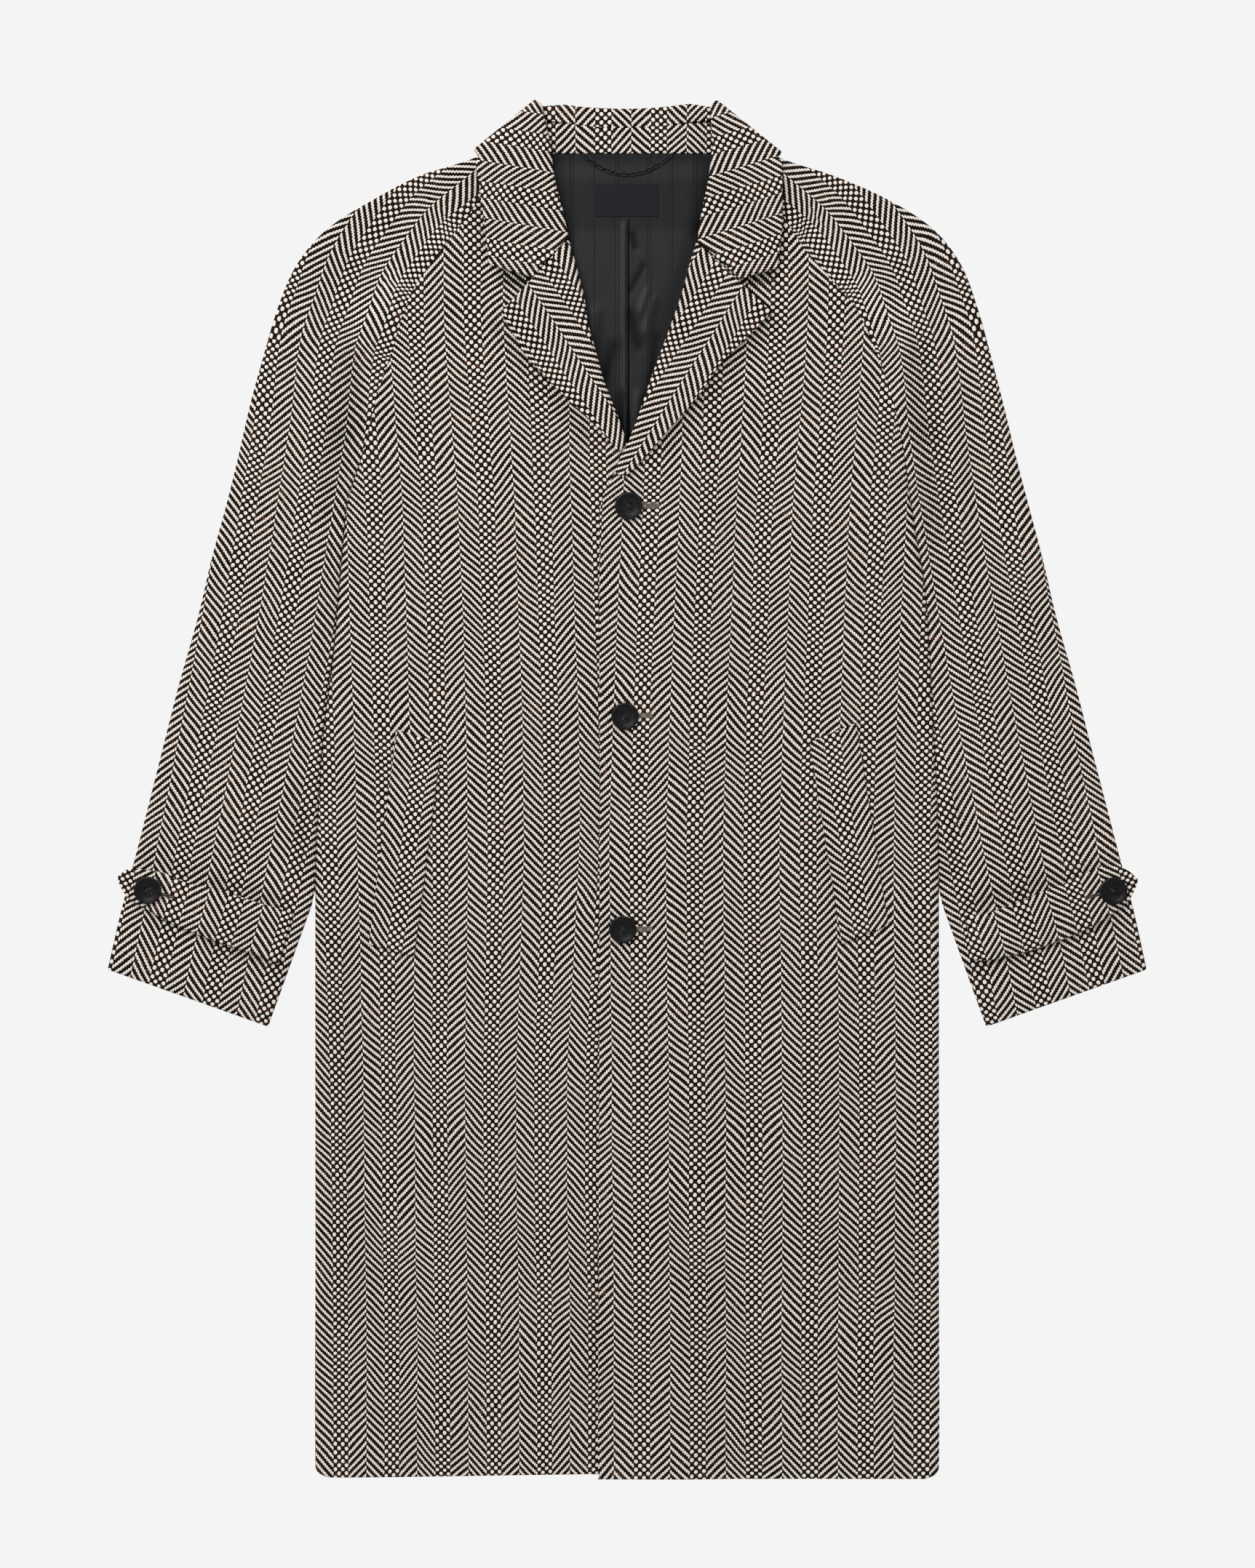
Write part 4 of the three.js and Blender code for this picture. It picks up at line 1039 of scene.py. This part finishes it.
def collar_stand(rows=9, columns=49):
    x = np.linspace(-STAND["half"], STAND["half"], columns)
    seam = np.array(COLLAR_BACK["seam"])
    seam_y = np.interp(x, seam[:, 0], seam[:, 1]) - SEAM
    y = STAND["low"] + (seam_y - STAND["low"]) * np.linspace(0, 1, rows)[:, None]
    faces = [together(x, y, STAND[level]) for level in ("top", "under")]
    faces = rounded(rounded(faces, 0, 0, radius=STAND["low_round"]), 0, 1, radius=STAND["seam_round"])

    def grain(points):
        return together(points[..., 0] - STAND_COLUMN, points[..., 1])

    add_cloth("neck_stand", "collar_stand", faces, WOOL, grain)


# Lining, label and hanger
def lining_top(x, y):
    return CLOTH + lift(y) + SEAM + LINING + 0 * x


# painted shade of the lining's folds, up to 1
def lining_shade(x, y):
    return np.minimum(summed(LINING_FOLDS, x, y, 6), 1)


def stripe_grain(points):
    """Stripes on both halves of the lining, which part at the pleat."""
    x = points[..., 0]
    first = np.where(x < PLEAT["x"], STRIPE_LEFT, STRIPE_RIGHT)
    return together(x - first, points[..., 1])


def lining(rows=90, columns=60):
    y = np.linspace(LINING_FROM, LINING_TO, rows)
    low = value_at(ROLL_LINE, "right", y) - LINING_MARGIN
    high = value_at(ROLL_LINE, "left", y) + LINING_MARGIN
    even = low[:, None] + (high - low)[:, None] * np.linspace(0, 1, columns)
    fine = PLEAT["x"] + np.linspace(-PLEAT["fine"], PLEAT["fine"], PLEAT["columns"])
    x = np.sort(np.hstack([even, np.broadcast_to(fine, (rows, len(fine)))]), 1)
    y = y[:, None]
    top = lining_top(x, y) + summed(LINING_FOLDS, x, y, 5)
    faces = [together(x, y, top), together(x, y, top - LINING / 2)]
    add_cloth("back_lining", "lining_back", faces, SATIN, stripe_grain,
              painted_shading=lining_shade)


def label(rows=18, columns=30):
    x = np.linspace(LABEL["left"], LABEL["right"], columns)
    y = np.linspace(LABEL["bottom"], LABEL["top"], rows)[:, None]
    base = lining_top(x, y) + SEAM
    faces = [together(x, y, base + LABEL["thick"]), together(x, y, base)]
    faces = rounded_at(ALL_ROUND, faces, LABEL["round"])
    add_cloth("neck_label", "label", faces, LABEL_CLOTH, lambda points: points[..., :2])


def turns(count):
    """Angles evenly spread over a full turn."""
    return [2 * math.pi * k / count for k in range(count)]


def ring_faces(rings, around, closed=False):
    """Faces between rings of points, and back to the first ring where closed."""
    faces = []
    for i in range(rings if closed else rings - 1):
        a, b = i * around, (i + 1) % rings * around
        for j in range(around):
            k = (j + 1) % around
            faces.append([a + j, b + j, b + k, a + k])
    return faces


def chain_link(centre, along_axis, flat_axis, around=14, section=8):
    """A stretched ring of wire."""
    wire = CHAIN["wire"]
    side = np.cross(flat_axis, along_axis)
    vertices = []
    for a in turns(around):
        ring = (along_axis * math.cos(a) * (CHAIN["link"] - wire) / 2
                + side * math.sin(a) * (CHAIN["width"] - wire) / 2)
        normal = ring / np.linalg.norm(ring)
        vertices += [centre + ring + wire / 2 * (normal * math.cos(b) + flat_axis * math.sin(b))
                     for b in turns(section)]
    return np.array(vertices), ring_faces(around, section, closed=True)


def add_joined(name, parts, material, slot, replaces=()):
    """One mesh made of several small ones."""
    vertices, faces, start = [], [], 0
    for points, quads in parts:
        vertices.append(points)
        faces += [[k + start for k in quad] for quad in quads]
        start += len(points)
    add_mesh(name, np.concatenate(vertices), faces, material, slot, replaces=replaces)


def hanger_chain(samples=400):
    share = np.linspace(-1, 1, samples)
    y = CHAIN["top"] - CHAIN["sag"] * (1 - share**2)
    path = together(share * CHAIN["half_span"], y, lining_top(share, y) + SEAM + CHAIN["above"])
    travelled = np.concatenate([[0], np.cumsum(np.linalg.norm(np.diff(path, axis=0), axis=1))])
    count = int(travelled[-1] / (CHAIN["link"] * CHAIN["pitch"]))
    links = []
    for k in range(count):
        at = (k + 0.5) / count * travelled[-1]
        centre = np.array([np.interp(at, travelled, path[:, c]) for c in range(3)])
        ahead = np.array([np.interp(at + 1, travelled, path[:, c]) for c in range(3)])
        run = (ahead - centre) / np.linalg.norm(ahead - centre)
        side = np.cross((0, 0, 1), run)
        side /= np.linalg.norm(side)
        twist = math.radians(CHAIN["twist"] if k % 2 else -CHAIN["twist"])
        flat = np.cross(run, side) * math.cos(twist) + side * math.sin(twist)
        links.append(chain_link(centre, run, flat))
    add_joined("chain_links", links, STEEL, "chain", ["hanger_chain"])


# Pieces sewn onto the panels
def strap_bed(x, y):
    """Where the underside of a cuff strap lies: it arches off the sleeve between its ends."""
    share = np.clip((STRAP_ARCH["from"] - np.abs(x)) / STRAP_ARCH["long"], 0, 1)
    return upper_top(x, y) + STRAP_ARCH["height"] * np.sin(math.pi * share)


def patch(name, node, upper, lower, top_at, thick, grain, columns=14):
    """A strip of cloth lying on a panel, between two edges."""
    share = np.linspace(0, 1, columns)[None, :, None]
    flat_points = upper[:, None, :] + (lower - upper)[:, None, :] * share
    base = top_at(flat_points[..., 0], flat_points[..., 1]) + STRIP_GAP
    faces = [together(*np.moveaxis(flat_points, -1, 0), level) for level in (base + thick, base)]
    add_cloth(name, node, rounded_at(ALL_ROUND, faces, thick / 2), WOOL, grain)


def cuff_tab(side, count=44):
    upper, lower = along(CUFF_TAB[side]["up"], count), along(CUFF_TAB[side]["low"], count)
    patch("cuff_strap_" + side, "cuff_tab_" + side, upper, lower, strap_bed, CLOTH,
          turned_grain(*STRAP_GRAIN[side]))


def pocket_welt(side, count=50):
    share = np.linspace(0, 1, count)[:, None]
    top, bottom = np.array(POCKET[side]["top"]), np.array(POCKET[side]["bottom"])
    upper, lower = (top[k] + (bottom[k] - top[k]) * share for k in (0, 1))
    patch("welt_" + side, "pocket_welt_" + side, upper, lower, lambda x, y: front_top(side, x, y), WELT,
          turned_grain(*WELT_GRAIN[side]))


# Half the section of a button, from the middle of its face round the rim to its back
BUTTON_SECTION = [(0, 1.9), (5.6, 1.9), (7.6, 2.2), (8.6, 2.5), (9.2, 3.0), (9.9, 3.35), (10.7, 3.3),
                  (11.3, 2.9), (BUTTON_SIZE / 2, 2.2), (BUTTON_SIZE / 2, 1.2), (11.1, 0.5),
                  (10.2, 0.1), (0, 0)]


def button(name, centre, base, around=64):
    """A turned four-hole button: raised rim, dished face, and the holes cut through."""
    vertices = [(0, 0, BUTTON_SECTION[0][1])]
    for r, z in BUTTON_SECTION[1:-1]:
        vertices += [(r * math.cos(a), r * math.sin(a), z) for a in turns(around)]
    vertices.append((0, 0, 0))
    rings = len(BUTTON_SECTION) - 2
    faces = [[0, 1 + k, 1 + (k + 1) % around] for k in range(around)]
    faces += [[1 + k for k in face] for face in ring_faces(rings, around)]
    last = 1 + (rings - 1) * around
    faces += [[last + k, last + around, last + (k + 1) % around] for k in range(around)]
    place = np.array([centre[0], centre[1], base])
    disc = add_mesh(name + "_disc", np.array(vertices) + place, faces, HORN, "button", replaces=[name])
    cut_holes(disc, place)


def cut_holes(obj, place):
    """Cuts the four holes with one mesh of four drills."""
    bm = bmesh.new()
    for dx in (-HOLE_OFFSET, HOLE_OFFSET):
        for dy in (-HOLE_OFFSET, HOLE_OFFSET):
            spot = Matrix.Translation(Vector(place + np.array([dx, dy, DRILL["middle"]])) * MM)
            bmesh.ops.create_cone(bm, cap_ends=True, segments=16, radius1=DRILL["low"] * MM,
                                  radius2=DRILL["top"] * MM, depth=DRILL["long"] * MM, matrix=spot)
    drill_mesh = bpy.data.meshes.new("drills")
    bm.to_mesh(drill_mesh)
    bm.free()
    drills = bpy.data.objects.new("drills", drill_mesh)
    bpy.context.scene.collection.objects.link(drills)
    cut = obj.modifiers.new("holes", "BOOLEAN")
    cut.object, cut.operation, cut.solver = drills, "DIFFERENCE", "EXACT"
    bpy.context.view_layer.update()
    depsgraph = bpy.context.evaluated_depsgraph_get()
    made = bpy.data.meshes.new_from_object(obj.evaluated_get(depsgraph))
    obj.modifiers.clear()
    obj.data = made
    bpy.data.objects.remove(drills)
    made.shade_smooth()
    made.set_sharp_from_angle(angle=math.radians(40))


def tube(points, radius, section=6):
    """A round thread along a few points, closed at both ends."""
    points = np.array(points, float)
    runs = np.gradient(points, axis=0)
    vertices = []
    steady = (0.13, 0.31, 0.94)  # a direction that no thread runs in
    for point, run in zip(points, runs):
        run = run / np.linalg.norm(run)
        side = np.cross(run, steady)
        side /= np.linalg.norm(side)
        other = np.cross(run, side)
        vertices += [point + radius * (side * math.cos(a) + other * math.sin(a)) for a in turns(section)]
    faces = ring_faces(len(points), section)
    faces.append(list(range(section))[::-1])
    faces.append([(len(points) - 1) * section + j for j in range(section)])
    return np.array(vertices), faces


# Way of a button thread between two holes: share of the way, and height over the strand's level
THREAD_WAY = [(0, -1.2), (0.08, 0.2), (0.5, 0.75), (0.92, 0.2), (1, -1.2)]
THREAD = {"radius": 0.33, "apart": 0.22, "low": 1.6, "crossing": 0.4}


def button_thread(name, centre, base):
    """The crossed threads that hold a button on."""
    strands = []
    for turn in (0, 1):
        level = THREAD["low"] + THREAD["crossing"] * turn
        for offset in (-THREAD["apart"], THREAD["apart"]):
            y = HOLE_OFFSET * (-1 if turn else 1)
            a = np.array([-HOLE_OFFSET, y, 0]) + offset
            b = np.array([HOLE_OFFSET, -y, 0]) + offset
            line = [a + (b - a) * share + (0, 0, level + rise) for share, rise in THREAD_WAY]
            strands.append(tube(np.array(line) + (centre[0], centre[1], base), THREAD["radius"]))
    add_joined(name + "_thread", strands, BLACK_THREAD, "button")


# Stitches of a worked buttonhole: spacing, thread, slit, bars at the end and unevenness
WORKED = {"pitch": 0.62, "radius": 0.29, "slit": 0.15, "bars": 3, "first_bar": 0.4, "bar_pitch": 0.5,
          "uneven": 0.18, "beat": 7.3}
# Way of a stitch over the cloth: share of the way, and height
STITCH_WAY = [(0, -0.25), (0.25, 0.3), (0.75, 0.3), (1, -0.25)]


def buttonhole(name, start, end, top_at, width=2.1, thread=CREAM_THREAD):
    """A worked buttonhole: close stitches down both sides of the slit and bars at the end."""
    start, end = np.array(start, float), np.array(end, float)
    length = np.linalg.norm(end - start)
    run = (end - start) / length
    side = np.array([-run[1], run[0]])
    count = max(6, int(length / WORKED["pitch"]))
    stitches = []

    def add(a, b):
        points = [(a + (b - a) * share, rise) for share, rise in STITCH_WAY]
        line = [(p[0], p[1], float(top_at(np.array(p[0]), np.array(p[1]))) + rise) for p, rise in points]
        stitches.append(tube(line, WORKED["radius"], 5))

    for k in range(count):
        at = start + run * length * (k + 0.5) / count
        uneven = WORKED["uneven"] * math.sin(WORKED["beat"] * k)
        add(at + side * WORKED["slit"], at + side * (width + uneven))
        add(at - side * WORKED["slit"], at - side * (width - uneven))
    for k in range(WORKED["bars"]):
        at = end + run * (WORKED["first_bar"] + WORKED["bar_pitch"] * k)
        add(at - side * width, at + side * width)
    add_joined(name, stitches, thread, "wool")


def sewing():
    def front_level(x, y):
        return front_top("left", x, y)

    def strap_level(x, y):
        return strap_bed(x, y) + STRIP_GAP + CLOTH

    def lapel_level(x, y):
        return front_level(x, y) + ON_TOP + CLOTH

    for name, (x, y) in BUTTONS.items():
        surface = strap_level if "cuff" in name else front_level
        base = float(surface(np.array(x), np.array(y))) + SEAM
        button(name, (x, y), base)
        button_thread(name, (x, y), base)
    for name, reach in BUTTONHOLE_REACH.items():
        x, y = BUTTONS[name]
        away, above = BUTTONHOLE_FROM
        buttonhole(name.replace("button", "buttonhole"), (x + away, y + above), (x + reach, y + above),
                   front_level)
    for side, (start, end) in CUFF_BUTTONHOLE.items():
        buttonhole("buttonhole_cuff_" + side, start, end, strap_level, width=1.4, thread=BROWN_THREAD)
    buttonhole("buttonhole_lapel", *LAPEL_BUTTONHOLE, lapel_level, width=1.5)


# Stage, light and camera
TABLE = 6.0  # half its side, in metres
TABLE_GLOW = 0.905
ROOM_LIGHT = 0.62
KEY = {"place": (-1.2, 2.0, 3.0), "size": 2.4, "power": 85.0}


def stage():
    """A large glowing table, so that no shadow falls round the coat, a bright room and one soft lamp."""
    mesh = bpy.data.meshes.new("table")
    corners = [(-TABLE, -TABLE, 0), (TABLE, -TABLE, 0), (TABLE, TABLE, 0), (-TABLE, TABLE, 0)]
    mesh.from_pydata(corners, [], [[0, 1, 2, 3]])
    floor = bpy.data.objects.new("table", mesh)
    bpy.context.scene.collection.objects.link(floor)
    n = Nodes("glowing_table")
    mesh.materials.append(n.look({"Base Color": (0, 0, 0, 1), "Specular IOR Level": 0.0,
                                  "Emission Color": (1, 1, 0.998, 1), "Emission Strength": TABLE_GLOW}))

    world = bpy.data.worlds.new("studio")
    bpy.context.scene.world = world
    world.use_nodes = True
    room = world.node_tree.nodes["Background"]
    room.inputs["Color"].default_value = (1, 1, 1, 1)
    room.inputs["Strength"].default_value = ROOM_LIGHT
    light = bpy.data.lights.new("key", "AREA")
    light.shape = "DISK"
    light.size = KEY["size"]
    light.energy = KEY["power"]
    lamp = bpy.data.objects.new("key", light)
    lamp.location = KEY["place"]
    lamp.rotation_mode = "QUATERNION"
    lamp.rotation_quaternion = Vector(lamp.location).to_track_quat("Z", "Y")
    bpy.context.scene.collection.objects.link(lamp)
    bpy.context.scene.view_settings.view_transform = "Standard"


PHOTO_HEIGHT = 2156  # in pixels
PIXEL = 0.61  # size of a pixel on the coat
CAMERA = (0.0003, 0.0046, 4.0)  # just off the coat's middle, in metres
SENSOR = 36


def camera():
    data = bpy.data.cameras.new("camera")
    data.sensor_width = SENSOR
    data.lens = SENSOR * (CAMERA[2] - LAID * MM) / (PHOTO_HEIGHT * PIXEL * MM)
    view = bpy.data.objects.new("camera", data)
    view.location = CAMERA
    bpy.context.scene.collection.objects.link(view)
    bpy.context.scene.camera = view


camera()
stage()
back()
for side in SIGN:
    sleeve(side, "back")
    sleeve(side, "front")
    front(side)
    lapel(side)
    cuff_tab(side)
    pocket_welt(side)
collar()
collar_stand()
lining()
label()
hanger_chain()
sewing()
